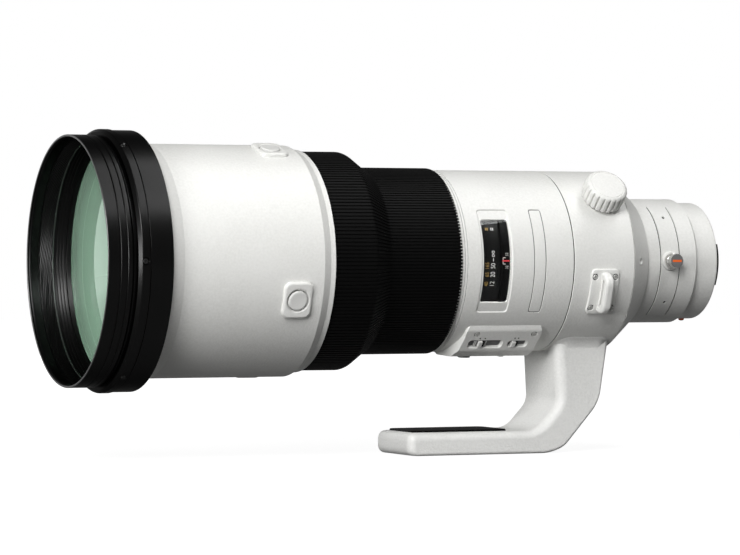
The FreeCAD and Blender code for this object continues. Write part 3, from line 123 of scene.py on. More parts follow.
class Skin:
    """Points and faces of a piece, gathered patch by patch."""

    def __init__(self):
        self.points = []
        self.faces = []
        self.total = 0

    def patch(self, grid, ring=False, tube=False):
        """Four-sided faces between the neighbours of a grid of points. ring joins the last
        column to the first one, and tube the last row."""
        rows, columns = grid.shape[:2]
        number = np.arange(rows * columns).reshape(rows, columns) + self.total
        self.points.append(grid.reshape(-1, 3))
        self.total += rows * columns
        if ring:
            number = np.hstack([number, number[:, :1]])
        if tube:
            number = np.vstack([number, number[:1]])
        quads = np.stack([number[:-1, :-1], number[1:, :-1], number[1:, 1:], number[:-1, 1:]], axis=-1)
        self.faces.extend(quads.reshape(-1, 4).tolist())
        return number

    def sweep(self, grid):
        """Closed profile carried along an open path: rows are the path's places, columns the
        profile; flat faces close both ends."""
        number = self.patch(grid, ring=True)
        self.faces.append(number[0, :-1].tolist())
        self.faces.append(number[-1, :-1].tolist())

    def stack(self, half_u, half_v, corner, layers, place, fill=1):
        """Solid of rounded rectangles one over another, whose lowest and highest layers are
        closed by straight rows across."""
        share = np.array([1.0, 0.5, 0.0, -0.5, -1.0])[None, :]
        for inset, height in (layers[0], layers[-1]):
            _, side = rounded_box(half_u, half_v, corner, fill, inset)
            self.patch(place(side[:, :1] * share, side[:, 1:], height))
        self.patch(np.stack(rims(half_u, half_v, corner, layers, place, fill)), ring=True)

    def spun(self, profile, place, count=48):
        """Profile of radii and heights carried round the w axis of a frame."""
        turn = np.linspace(0, 2 * np.pi, count, endpoint=False)[None, :]
        table = np.asarray(profile, float)
        self.patch(wheel(place, table[:, :1], turn, table[:, 1:]), ring=True)

    def plug(self, profile, place, count=48):
        """Profile carried round the w axis and closed there by a flat face at both ends."""
        self.spun([(0, profile[0][1]), *profile, (0, profile[-1][1])], place, count)

    def bore(self, radius, low, lip, rim, top, place, count=48):
        """Drill with a widened mouth: straight from low to lip, then out to the rim and the top,
        each a radius and a height."""
        self.plug([(radius, low), (radius, lip), rim, top], place, count)

    def screw(self, place, radius, low, top, arm, width):
        """Screw head with a cross in it. The inner rings follow the cross, whose edge lies at
        the smaller of arm over cosine and width over sine of the angle from the nearest arm."""
        turn = np.linspace(0, 2 * np.pi, 48, endpoint=False)
        lean = np.abs((turn + np.pi / 4) % (np.pi / 2) - np.pi / 4)
        cross = np.minimum(arm / np.cos(lean), width / np.maximum(np.sin(lean), 1e-3))
        ease = radius * 0.14
        rings = [(0, low), (radius, low), (radius, top - ease), (radius - ease, top), (cross, top),
                 (cross * 0.8, top - radius * 0.5), (0, top - radius * 0.6)]
        rows = np.stack([np.broadcast_to(ring, turn.shape) for ring, _ in rings])
        heights = np.array([[height] for _, height in rings])
        self.patch(wheel(place, rows, turn, heights), ring=True)

    def packing(self, place, inner, outer, low):
        """Flat dark ring that fills the bottom of the gap round a screw head: painted shade in the gap."""
        top = low + 0.15
        self.spun([(inner, low), (outer, low), (outer, top), (inner, top), (inner, low)], place, 32)

    def mesh(self, name):
        """Mesh in metres: points that meet are merged and faces turned outwards."""
        made = bpy.data.meshes.new(name)
        made.from_pydata(np.concatenate(self.points) * MM, [], self.faces)
        closed = bmesh.new()
        closed.from_mesh(made)
        bmesh.ops.remove_doubles(closed, verts=closed.verts, dist=2e-6)
        bmesh.ops.dissolve_degenerate(closed, edges=closed.edges, dist=1e-7)
        bmesh.ops.recalc_face_normals(closed, faces=closed.faces)
        closed.to_mesh(made)
        closed.free()
        return made


def skins(count):
    """Several empty skins."""
    return [Skin() for _ in range(count)]


def bent_on(x, angle, radius):
    """Frame bent round the axis: u along the axis, v along the arc, w outwards from a radius."""
    def place(u, v, w):
        return around(x + u, radius + w, angle + np.degrees(v / radius))
    return place


def flat_frame(origin, along, across, out):
    """Flat frame from an origin and three directions."""
    basis = np.array([along, across, out], float)

    def place(u, v, w):
        local = np.stack(np.broadcast_arrays(u, v, w), axis=-1)
        return np.asarray(origin, float) + local @ basis
    return place


def directions(angle):
    """Outward and sideways directions at an angle round the axis."""
    sin, cos = math.sin(math.radians(angle)), math.cos(math.radians(angle))
    return np.array([0.0, -cos, sin]), np.array([0.0, sin, cos])


def flat_on(x, angle):
    """Flat frame square to a radius: u along the axis, v round it, w outwards from the axis."""
    out, across = directions(angle)
    return flat_frame((x, 0, 0), (1, 0, 0), across, out)


def moved(place, du, dv=0.0):
    """The same frame with its origin moved within its own plane."""
    def shifted(u, v, w):
        return place(u + du, v + dv, w)
    return shifted


def linked(name, data):
    """New object in the scene."""
    item = bpy.data.objects.new(name, data)
    bpy.context.scene.collection.objects.link(item)
    return item


def final_mesh(item):
    """Mesh of a text, or of an object with its modifiers carried out."""
    view = bpy.context.evaluated_depsgraph_get()
    return bpy.data.meshes.new_from_object(item.evaluated_get(view))


def baked(item):
    """Carries out an object's modifiers on its mesh."""
    result = final_mesh(item)
    item.modifiers.clear()
    item.data = result


def shaped(name, skin, within, cuts):
    """Object of a closed skin, kept in common with another one and with others cut from it."""
    item = linked(name, skin.mesh(name))
    tools = [("INTERSECT", within)] if within else []
    for kind, tool in tools + [("DIFFERENCE", cut) for cut in cuts]:
        cutter = linked(name + "_tool", tool.mesh(name + "_tool"))
        change = item.modifiers.new(kind, "BOOLEAN")
        change.operation = kind
        change.object = cutter
        change.solver = "EXACT"
        baked(item)
        bpy.data.objects.remove(cutter)
    return item


def piece(name, skin, finish, body="barrel", slot=None, replaces=None, within=None, cuts=(), bevel=None,
          sharp=33.0):
    """A skin made into a finished piece that rides on a body. bevel is the width of eased edges
    and the angle they start at; edges sharper than the last value stay sharp in the shading."""
    item = shaped(name, skin, within, cuts)
    if bevel:
        ease = item.modifiers.new("eased", "BEVEL")
        ease.width = bevel[0] * MM
        ease.segments = 2
        ease.limit_method = "ANGLE"
        ease.angle_limit = math.radians(bevel[1])
        baked(item)
    item.data.materials.clear()
    item.data.materials.append(FINISHES[finish])
    item.data.shade_smooth()
    item.data.set_sharp_from_angle(angle=math.radians(sharp))
    item.modifiers.new("even_shading", "WEIGHTED_NORMAL").keep_sharp = True
    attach(item, body)
    slot or finish
    if replaces:
        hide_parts(replaces)
    return item


def ring_piece(name, corners, finish, body="barrel", **more):
    """Piece turned from one closed profile of eased corners."""
    skin = Skin()
    skin.patch(turned(eased(corners)), ring=True, tube=True)
    piece(name, skin, finish, body, **more)


# Finishes.

def shader_group(name, inputs, outputs):
    """Empty shader group with its sockets, and its inner end nodes."""
    group = bpy.data.node_groups.new(name, "ShaderNodeTree")
    for label, kind, value in inputs:
        group.interface.new_socket(label, in_out="INPUT", socket_type=kind).default_value = value
    for label, kind in outputs:
        group.interface.new_socket(label, in_out="OUTPUT", socket_type=kind)
    return group, group.nodes.new("NodeGroupInput"), group.nodes.new("NodeGroupOutput")


def node(tree, kind, feeds=None, **settings):
    """New shader node. feeds gives its inputs, by label or number, another node's output or a
    plain value; settings are the node's own choices."""
    made = tree.nodes.new(kind)
    for label, value in settings.items():
        setattr(made, label, value)
    for label, value in (feeds or {}).items():
        if hasattr(value, "is_linked"):
            tree.links.new(value, made.inputs[label])
        else:
            made.inputs[label].default_value = value
    return made


def mapped(tree, source, low, high, start=0.0, stop=1.0):
    """Value that runs from low to high while the source runs from start to stop."""
    feeds = {"Value": source, "From Min": start, "From Max": stop, "To Min": low, "To Max": high}
    return node(tree, "ShaderNodeMapRange", feeds).outputs["Result"]


def worked(tree, operation, first, second):
    """Result of two values, such as their product or the larger one."""
    return node(tree, "ShaderNodeMath", {0: first, 1: second}, operation=operation).outputs[0]


def grain_group(name, stretched=False):
    """Grain of a painted, moulded or turned skin: fine noise for height and gloss, its product
    with wide noise for tone. A stretched one reads the distance from the axis, so its lines run
    round as lathe marks do."""
    inputs = [("Colour", "NodeSocketColor", (0.8, 0.8, 0.8, 1)),
              ("Fleck", "NodeSocketColor", (0.7, 0.7, 0.7, 1)), ("Grain", "NodeSocketFloat", 1000.0),
              ("Smooth", "NodeSocketFloat", 0.3), ("Rough", "NodeSocketFloat", 0.5)]
    outputs = [("Colour", "NodeSocketColor"), ("Roughness", "NodeSocketFloat"), ("Height", "NodeSocketFloat")]
    group, start, end = shader_group(name, inputs, outputs)
    given = start.outputs
    place = node(group, "ShaderNodeTexCoord").outputs["Object"]
    if stretched:
        parts = node(group, "ShaderNodeSeparateXYZ", {0: place}).outputs
        flat = node(group, "ShaderNodeCombineXYZ", {"X": parts["Y"], "Y": parts["Z"]}).outputs[0]
        far = node(group, "ShaderNodeVectorMath", {0: flat}, operation="LENGTH").outputs["Value"]
        place = node(group, "ShaderNodeCombineXYZ", {"X": parts["X"], "Y": far}).outputs[0]
    feeds = {"Vector": place, "Scale": given["Grain"], "Detail": 2.0}
    fine = node(group, "ShaderNodeTexNoise", feeds).outputs["Fac"]
    wide = node(group, "ShaderNodeTexNoise", {"Vector": place, "Scale": 22.0, "Detail": 3.0}).outputs["Fac"]
    share = mapped(group, worked(group, "MULTIPLY", fine, wide), -0.3, 1.6)
    feeds = {"Factor": share, "A": given["Colour"], "B": given["Fleck"]}
    tone = node(group, "ShaderNodeMix", feeds, data_type="RGBA")
    gloss = mapped(group, fine, given["Smooth"], given["Rough"])
    for label, source in (("Colour", tone.outputs["Result"]), ("Roughness", gloss), ("Height", fine)):
        group.links.new(source, end.inputs[label])
    return group


MOULDED = grain_group("moulded_grain")
LATHED = grain_group("lathe_marks", stretched=True)


def new_material(name):
    """Empty material and its node tree."""
    material = bpy.data.materials.new(name)
    material.use_nodes = True
    return material, material.node_tree


def solid(colour):
    """Colour with full cover; a single number is a grey."""
    return (*colour, 1) if isinstance(colour, tuple) else (colour, colour, colour, 1)


def finish(name, colour, fleck, grain, rough, depth, group=MOULDED, **sockets):
    """Finish from a grain group. rough is the smooth and rough end of the gloss, depth the
    height of the grain in millimetres, and sockets are plain values of the shader itself."""
    material, tree = new_material(name)
    shader = tree.nodes["Principled BSDF"]
    for label, value in sockets.items():
        shader.inputs[label.replace("_", " ")].default_value = value
    feeds = {"Colour": solid(colour), "Fleck": solid(fleck), "Grain": grain, "Smooth": rough[0],
             "Rough": rough[1]}
    skin = tree.nodes.new("ShaderNodeGroup")
    skin.node_tree = group
    for label, value in feeds.items():
        skin.inputs[label].default_value = value
    bump = node(tree, "ShaderNodeBump", {"Distance": depth * MM, "Height": skin.outputs["Height"]})
    tree.links.new(skin.outputs["Colour"], shader.inputs["Base Color"])
    tree.links.new(skin.outputs["Roughness"], shader.inputs["Roughness"])
    tree.links.new(bump.outputs["Normal"], shader.inputs["Normal"])
    FINISHES[name] = material


def all_finishes():
    """Finishes of the lens, named for what they cover."""
    finish("white_paint", (0.80, 0.80, 0.775), (0.68, 0.68, 0.65), 800, (0.36, 0.5), 0.14)
    finish("foot_paint", (0.80, 0.80, 0.78), (0.66, 0.66, 0.64), 850, (0.38, 0.6), 0.22)
    finish("white_plastic", (0.72, 0.72, 0.70), (0.66, 0.66, 0.64), 1200, (0.35, 0.5), 0.01)
    finish("grey_plastic", 0.16, 0.12, 1200, (0.4, 0.55), 0.01)
    finish("black_plastic", 0.006, 0.01, 1200, (0.4, 0.55), 0.01, Specular_IOR_Level=0.15)
    finish("black_satin", 0.022, 0.028, 1800, (0.26, 0.36), 0.01, Metallic=1.0,
           Specular_Tint=(0.45, 0.45, 0.45, 1))
    finish("black_rubber", 0.002, 0.005, 1600, (0.45, 0.62), 0.03, Specular_IOR_Level=0.07)
    finish("inner_black", 0.002, 0.004, 1600, (0.4, 0.55), 0.01, Specular_IOR_Level=0.06)
    finish("bare_edge", 0.14, 0.1, 2200, (0.35, 0.5), 0.005, LATHED, Metallic=1.0)
    # near black metal for the mount's claws: painted shade over bare metal
    finish("thin_black_steel", 0.03, 0.02, 1400, (0.35, 0.5), 0.005, Metallic=0.6)
    finish("black_screw", 0.02, 0.04, 1500, (0.3, 0.45), 0.005, Metallic=0.4)
    finish("screw_steel", (0.62, 0.62, 0.6), (0.52, 0.52, 0.5), 2500, (0.25, 0.4), 0.005, Metallic=0.4)
    finish("mount_metal", (0.66, 0.65, 0.63), (0.55, 0.54, 0.52), 2600, (0.2, 0.36), 0.008, LATHED,
           Metallic=1.0)
    finish("aluminium", 0.7, 0.6, 2200, (0.3, 0.45), 0.008, LATHED, Metallic=1.0)
    finish("motor_metal", (0.45, 0.42, 0.36), (0.38, 0.36, 0.32), 2000, (0.3, 0.45), 0.008, LATHED,
           Metallic=1.0)
    finish("gold_pin", (0.83, 0.62, 0.26), (0.75, 0.55, 0.22), 2500, (0.2, 0.3), 0.003, Metallic=1.0)
    finish("coated_glass", (0.52, 0.72, 0.58), (0.5, 0.7, 0.56), 400, (0.0, 0.012), 0.0,
           Transmission_Weight=0.62, IOR=2.0, Specular_Tint=(0.78, 1.0, 0.87, 1))
    finish("clear_glass", (0.97, 0.98, 0.98), (0.96, 0.97, 0.97), 400, (0.0, 0.01), 0.0,
           Transmission_Weight=1.0, IOR=1.22)
    finish("orange_plastic", (0.9, 0.15, 0.02), (0.85, 0.13, 0.02), 1200, (0.35, 0.5), 0.005)
    finish("red_mark", (0.5, 0.03, 0.04), (0.45, 0.03, 0.04), 1200, (0.45, 0.55), 0.003)
    finish("amber_mark", (0.35, 0.22, 0.05), (0.3, 0.18, 0.04), 1200, (0.45, 0.55), 0.003)
    finish("white_mark", (0.56, 0.56, 0.54), (0.5, 0.5, 0.48), 1200, (0.45, 0.55), 0.003)


# Front end.

def front_rim():
    """Ring round the mouth. Its wall is a profile turned round the axis; on the inner wall the
    radius also falls by a wave whose phase grows along and round it, which gives slanted ribs."""
    outside = [(-372.6, 66.9, 0.1), (-366.3, 66.9, 0.08), (-366.05, 66.45), (-365.9, 66.45),
               (-365.5, 66.9, 0.2), (-362.25, 66.9, 0.08), (-362.0, 66.55), (-361.6, 66.9, 0.15),
               (-359.5, 66.9, 0.5), (-358.5, 66.15, 0.1), (-351.9, 66.1), (-351.9, 64.6),
               (-358.6, 64.6)]
    inside = [(-366.4, 64.6), (-366.45, 65.3, 0.1), (-370.7, 65.5, 0.4), (-372.6, 65.9, 0.1)]
    places, pitch, starts, deepest = 52, 0.9, 58, 0.34
    wall = np.stack([np.linspace(-358.9, -366.2, places), np.full(places, 64.6)], 1)
    first, last = eased(outside), eased(inside)
    profile = np.concatenate([first, wall, last])
    step = np.arange(places)
    fade = np.clip(step, 0, 3) / 3 * np.clip(step[::-1], 0, 3) / 3
    depth = deepest * np.concatenate([np.zeros(len(first)), fade, np.zeros(len(last))])[:, None]
    angles = np.arange(0, 360, 1.0)[None, :]
    wave = 0.5 + 0.5 * np.cos(2 * np.pi * (profile[:, :1] / pitch + starts * angles / 360))
    skin = Skin()
    skin.patch(around(profile[:, :1], profile[:, 1:] - depth * wave, angles), ring=True, tube=True)
    piece("front_rim", skin, "black_satin", replaces="front_rim_ring")
    lip = [(-372.58, 65.8), (-372.9, 65.95, 0.1), (-372.9, 66.75, 0.12), (-372.58, 66.92)]
    ring_piece("rim_lip", lip, "bare_edge", slot="aluminium")
    step = [(-358.95, 64.7), (-358.9, 64.3, 0.1), (-358.3, 64.3, 0.1), (-358.3, 64.7)]
    ring_piece("inner_step", step, "bare_edge", slot="aluminium")


def hood_band():
    """Wide black band with a bright front chamfer, a seam and six sunk screws."""
    corners = [(-357.0, 66.15), (-357.0, 68.3, 0.12), (-355.2, 70.0, 0.45), (-350.95, 70.0, 0.2),
               (-350.67, 69.1), (-350.5, 69.1), (-350.3, 69.5, 0.15), (-338.0, 69.5, 0.35),
               (-338.0, 64.25), (-343.0, 64.25), (-343.0, 66.15)]
    holes, heads = skins(2)
    for angle in range(0, 360, 60):
        place = flat_on(-353.5, angle)
        holes.bore(1.75, 68.2, 69.5, (2.15, 70.0), (2.95, 71.0), place)
        heads.screw(place, 1.4, 68.2, 69.7, 0.85, 0.26)
    ring_piece("wide_hood_band", corners, "black_satin", replaces="hood_band", cuts=[holes])
    piece("band_screws", heads, "black_screw", replaces="hood_band_screws")


def front_glass():
    """Front glass: both faces are shallow spheres, on which x moves by the sphere's radius less
    the root of its square less the square of the distance from the axis. A stepped black ring
    with fine grooves holds it."""
    front, rear, edge = -355.1, -342.0, 62.0
    front_sphere, rear_sphere = 313.1, 1202.0
    face = np.linspace(0, edge, 36)
    curve = front_sphere - np.sqrt(front_sphere ** 2 - face ** 2)
    back = rear_sphere - np.sqrt(rear_sphere ** 2 - face ** 2)
    profile = np.concatenate([np.stack([front + curve, face], 1), np.stack([rear - back, face], 1)[::-1]])
    skin = Skin()
    skin.patch(turned(profile), ring=True)
    piece("front_glass", skin, "coated_glass", replaces="front_element").visible_shadow = False
    corners = [(-358.1, 64.05, 0.1), (-358.1, 64.5), (-351.9, 64.5), (-351.9, 63.0),
               (-348.9, 63.0), (-348.9, 62.0), (-349.3, 61.05, 0.1), (-351.6, 61.7, 0.2),
               (-351.9, 62.5, 0.1)]
    slope, half_groove = 0.25, 0.25
    for x in (-353.4, -355.0, -356.6):
        radius = 62.5 + (-351.9 - x) * slope
        corners += [(x + half_groove, radius - 0.06), (x, radius + 0.2), (x - half_groove, radius + 0.06)]
    ring_piece("retaining_ring", corners, "black_satin", replaces="front_retaining_ring")


def front_barrel():
    """Front white barrel: flared at the band, stepped down over a chamfer to a thin rear lip, and
    drilled for the hold buttons' stems."""
    corners = [(-343.0, 60.5), (-343.0, 64.9), (-336.4, 65.2, 0.2), (-329.4, FRONT_BARREL, 0.2),
               (-250.9, FRONT_BARREL, 0.2), (-246.5, 60.3, 0.2), (-243.6, 60.3, 0.3), (-243.6, 46.1),
               (-249.6, 46.1), (-249.6, 58.5), (-250.9, 60.5)]
    stems = Skin()
    for angle in HOLD_ANGLES:
        stems.plug([(3.6, 58), (3.6, 64)], flat_on(HOLD_PLACE, angle))
    ring_piece("white_front_barrel", corners, "white_paint", replaces="front_barrel", cuts=[stems])


def hold_buttons():
    """Rounded pads with a coved well each, and a domed button in every well."""
    half_u, half_v, corner = 8.25, 10.0, 4.2
    outer, _ = rounded_box(half_u, half_v, corner, fill=3)
    turn = np.arctan2(outer[:, 1], outer[:, 0])
    sides = ((0.0, 61.0), (0.0, 62.9), (0.18, 63.35), (0.7, 63.8), (1.3, 63.95))
    well = ((6.8, 63.95), (6.6, 63.88), (5.85, 63.2), (5.62, 62.9), (5.62, 61.0))
    dome = [(0, 58.9), (3.4, 58.9), (3.4, 63.5), (5.35, 63.5), (5.35, 63.95), (5.05, 64.25), (4.4, 64.4),
            (3.9, 64.38), (2.6, 64.3), (1.3, 64.26), (0, 64.25)]
    pads = Skin()
    for number, angle in enumerate(HOLD_ANGLES, 1):
        place = flat_on(HOLD_PLACE, angle)
        rows = rims(half_u, half_v, corner, sides, place, fill=3)
        rows += [wheel(place, radius, turn, height) for radius, height in well]
        pads.patch(np.stack(rows), ring=True, tube=True)
        cap = Skin()
        cap.spun(dome, place)
        name = f"hold_button_{number}"
        piece("round_" + name, cap, "white_plastic", name, replaces=name, sharp=45)
    piece("hold_pads", pads, "white_paint", replaces="button_pads", sharp=40)


# Focus ring.

def focus_grip():
    """Ribbed rubber sleeve in two diameters. Round it the ribs are 2 degrees apart, a bit more
    than half of it land and the rest groove; along it the profile steps down over a slope."""
    outside = eased([(-243.3, 57.3), (-243.3, 59.3, 0.35), (-219.1, 59.4, 1.5), (-207.6, 51.0, 1.5),
                     (-165.7, 51.0, 0.4), (-165.7, 48.9)])
    inside = np.array([(-207.8, 48.9), (-219.3, 57.3)])
    profile = np.concatenate([outside, inside])
    ribs, groove = 180, 0.55
    floor_line = np.interp(profile[:, 0], (-219.2, -207.7), (57.4, 49.0))
    grooved = profile[:, 1] > floor_line + 0.4
    share = np.array([0.0, 0.3, 0.58, 0.68, 0.8, 0.9])
    level = np.array([0.0, 0.0, 0.0, 1.0, 1.0, 1.0])
    angles = ((np.arange(ribs)[:, None] + share[None, :]) * 360 / ribs).reshape(1, -1)
    dip = np.tile(level, ribs)[None, :] * np.where(grooved, groove, 0.0)[:, None]
    skin = Skin()
    skin.patch(around(profile[:, :1], profile[:, 1:] - dip, angles), ring=True, tube=True)
    piece("ribbed_grip", skin, "black_rubber", "focus_ring", replaces="focus_grip", sharp=25)
    lip = [(-166.5, 50.2), (-166.5, 50.62, 0.1), (-165.66, 50.62, 0.15), (-165.66, 50.2)]
    ring_piece("grip_end_ring", lip, "white_paint", "focus_ring")


# Rear barrel, window and dial.

def rear_barrel():
    """White rear barrel with two fine lines at its front, the window in its sunk panel, the
    sunk bare nameplate and the neck that the collar turns on. Dark grey rings down in the
    grooves of the fine lines and of the nameplate are painted shade."""
    inner, groove, neck, cone = 48.2, 49.3, 46.6, 44.0
    corners = [(-165.4, inner), (-165.4, BARREL, 0.4), (-163.92, BARREL), (-163.92, groove),
               (-163.58, groove), (-163.58, BARREL, 0.15), (-162.42, BARREL), (-162.42, groove),
               (-162.08, groove), (-162.08, BARREL, 0.15), (-98.6, BARREL, 0.3), (-98.6, neck),
               (COLLAR_REAR, neck), (COLLAR_REAR, cone), (-100.0, cone), (-100.0, 46.05),
               (-106.0, 46.05), (-106.0, inner)]
    window, sunk, shade = skins(3)
    middle = bent_on(-144.65, 0.0, BARREL)
    window.stack(7.95, math.radians(27) * BARREL, 1.3, [(0, -3.0), (0, -0.6), (-0.3, -0.4), (-0.9, 0.7)],
                 middle, fill=40)
    sunk.stack(9.4, math.radians(34) * BARREL, 2.2, [(0.5, -0.6), (0.45, -0.52), (0.0, 0.0), (-0.5, 0.55)],
               middle, fill=50)
    plate = bent_on(-118.9, 0.0, BARREL)
    half_u, half_v, corner = 3.9, math.radians(34.3) * BARREL, 1.6
    cut = ((-0.1, 0.4), (0.3, -0.6), (0.6, -0.6), (1.0, 0.4))
    # painted shade: a dark grey ring down in the nameplate's groove
    groove_shade = ((0.2, -0.55), (0.2, -0.3), (0.65, -0.3), (0.65, -0.55))
    for skin, section in ((sunk, cut), (shade, groove_shade)):
        skin.patch(np.stack(rims(half_u, half_v, corner, section, plate, 50)), ring=True, tube=True)
    # painted shade: dark grey rings down in the two fine grooves at the front
    for x in (-163.75, -162.25):
        line = np.array([(x - 0.16, 49.4), (x - 0.16, 49.72), (x + 0.16, 49.72), (x + 0.16, 49.4)])
        shade.patch(turned(line), ring=True, tube=True)
    piece("painted_groove_shade", shade, "grey_plastic")
    ring_piece("white_rear_barrel", corners, "white_paint", replaces="rear_barrel", cuts=[sunk, window])
    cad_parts["scale_window"].visible_shadow = False


def figures(name, marks, finish_name, body, radius):
    """Dial figures: each text is made flat, then bent round the axis at its angle, with its
    reading direction running up the barrel."""
    narrow, thick, thin_by = 0.84, 0.04, 0.01
    skin = Skin()
    for text, size, x, angle in marks:
        curve = bpy.data.curves.new("figure", "FONT")
        curve.body = text
        curve.size = size
        curve.extrude = thick
        curve.offset = -thin_by * size
        curve.align_x = "CENTER"
        curve.align_y = "CENTER"
        holder = linked("figure", curve)
        flat = final_mesh(holder)
        points = np.zeros(len(flat.vertices) * 3)
        flat.vertices.foreach_get("co", points)
        points = points.reshape(-1, 3)
        skin.faces.extend([[corner + skin.total for corner in face.vertices] for face in flat.polygons])
        skin.points.append(bent_on(x, angle, radius)(-points[:, 1], points[:, 0] * narrow, points[:, 2]))
        skin.total += len(points)
        bpy.data.objects.remove(holder)
    piece(name, skin, finish_name, body, slot="white_plastic")


def strips(name, marks, paint, body, radius, slot="white_plastic", skin=None):
    """Painted lines: thin bent plates from (x, angle, half length, half arc) rows."""
    skin = skin or Skin()
    for x, angle, half_u, half_v in marks:
        skin.stack(half_u, half_v, min(half_u, half_v) * 0.4, [(0, -0.05), (0, 0.05)],
                   bent_on(x, angle, radius), fill=3)
    piece(name, skin, paint, body, slot=slot)


def dial():
    """White and amber distance figures on the turning drum, the sign for endless as a thin line
    along a lying eight, and the red index line with the marks beside it."""
    drum, white_row, amber_row = 47.2, -146.0, -149.5
    far = [(12, 40, -15.2), (20, 65, -8.9), (50, 165, -3.2)]
    near = zip((10, 8, 7, 6, 5.5, 5), (33, 26, 23, 20, 18, 16), range(1, 7))
    rows = far + [(metres, feet, -23.0 - 7.5 * step) for metres, feet, step in near]
    white = [(str(metres), 3.7, white_row, angle) for metres, _, angle in rows]
    amber = [(str(feet), 3.1, amber_row, angle) for _, feet, angle in rows]
    figures("white_figures", white, "white_mark", "distance_scale", drum)
    figures("amber_figures", amber, "amber_mark", "distance_scale", drum)
    turn = np.linspace(0, 2 * np.pi, 40, endpoint=False)
    centre = np.stack([1.5 * np.cos(turn), 1.4 * np.sin(turn) * np.cos(turn)], 1)
    run = np.roll(centre, -1, axis=0) - np.roll(centre, 1, axis=0)
    side = np.stack([-run[:, 1], run[:, 0]], 1) / np.linalg.norm(run, axis=1, keepdims=True) * 0.13
    place = bent_on(white_row, 4.7, drum)
    rows = []
    for way, height in ((-1, -0.04), (-1, 0.05), (1, 0.05), (1, -0.04)):
        line = centre + side * way
        rows.append(place(-line[:, 1], line[:, 0], height))
    eight = Skin()
    eight.patch(np.stack(rows), ring=True, tube=True)
    strips("endless_mark", [(white_row, 0.9, 0.12, 0.9)], "white_mark", "distance_scale", drum, skin=eight)
    for name, x, paint in (("feet_mark", -149.4, "amber_mark"), ("metre_mark", -146.2, "white_mark")):
        bars = [(x - 0.5, 20.7, 0.22, 0.8), (x + 0.5, 20.7, 0.22, 0.8)]
        strips(name, bars, paint, "barrel", INDEX_PLATE)
    strips("index_line", [(-139.2, 0.1, 2.2, 0.36)], "red_mark", "barrel", INDEX_PLATE, "orange_plastic")
    brackets = [(-140.9, 1.3, 0.15, 0.6), (-140.9, -1.1, 0.15, 0.6), (-140.2, 2.1, 0.75, 0.15),
                (-140.2, -1.9, 0.75, 0.15)]
    strips("index_brackets", brackets, "white_mark", "barrel", INDEX_PLATE)
    pair = [("32", 2.3, -138.5, 4.2), ("32", 2.3, -138.5, -4.0)]
    figures("small_figures", pair, "white_mark", "barrel", INDEX_PLATE)


# Control panel.

PANEL_FRONT = -157.0
PANEL_ANGLE = -67.5
FACET_TILT = math.atan2(6.6, 13.7)
SLOT_ROW = -2.4
MODE_SLOT = 15.1
OVERRIDE_SLOT = 34.6
LIMITER_SLOT = 35.1
PRESET_PLACE = 9.7


def facet(side, along, across=SLOT_ROW):
    """Flat frame on a facet of the panel: side 1 is the upper one, across runs to its outer edge."""
    out, tangent = directions(PANEL_ANGLE)
    sin, cos = math.sin(FACET_TILT), math.cos(FACET_TILT)
    origin = np.array([PANEL_FRONT + along, 0, 0]) + side * 10.75 * tangent + 51.7 * out
    slope = cos * tangent - side * sin * out
    return flat_frame(origin + side * across * slope, (1, 0, 0), slope, side * sin * tangent + cos * out)


def panel_screws(wells):
    """Sunk screws near the panel's corners, and dark rings round them that are painted shade in
    the gaps. Their holes join the wells that are cut from the panel."""
    heads, gap_shade = skins(2)
    for side in (1, -1):
        for along in (8.2, 42.6):
            spot = facet(side, along, 4.7)
            wells.bore(1.7, -1.2, -0.3, (2.0, 0), (2.9, 1), spot)
            heads.screw(spot, 1.35, -1.2, 0.1, 0.9, 0.26)
            # painted shade: a dark ring at the bottom of each screw's gap
            gap_shade.packing(spot, 1.3, 1.68, -1.15)
    return heads, gap_shade


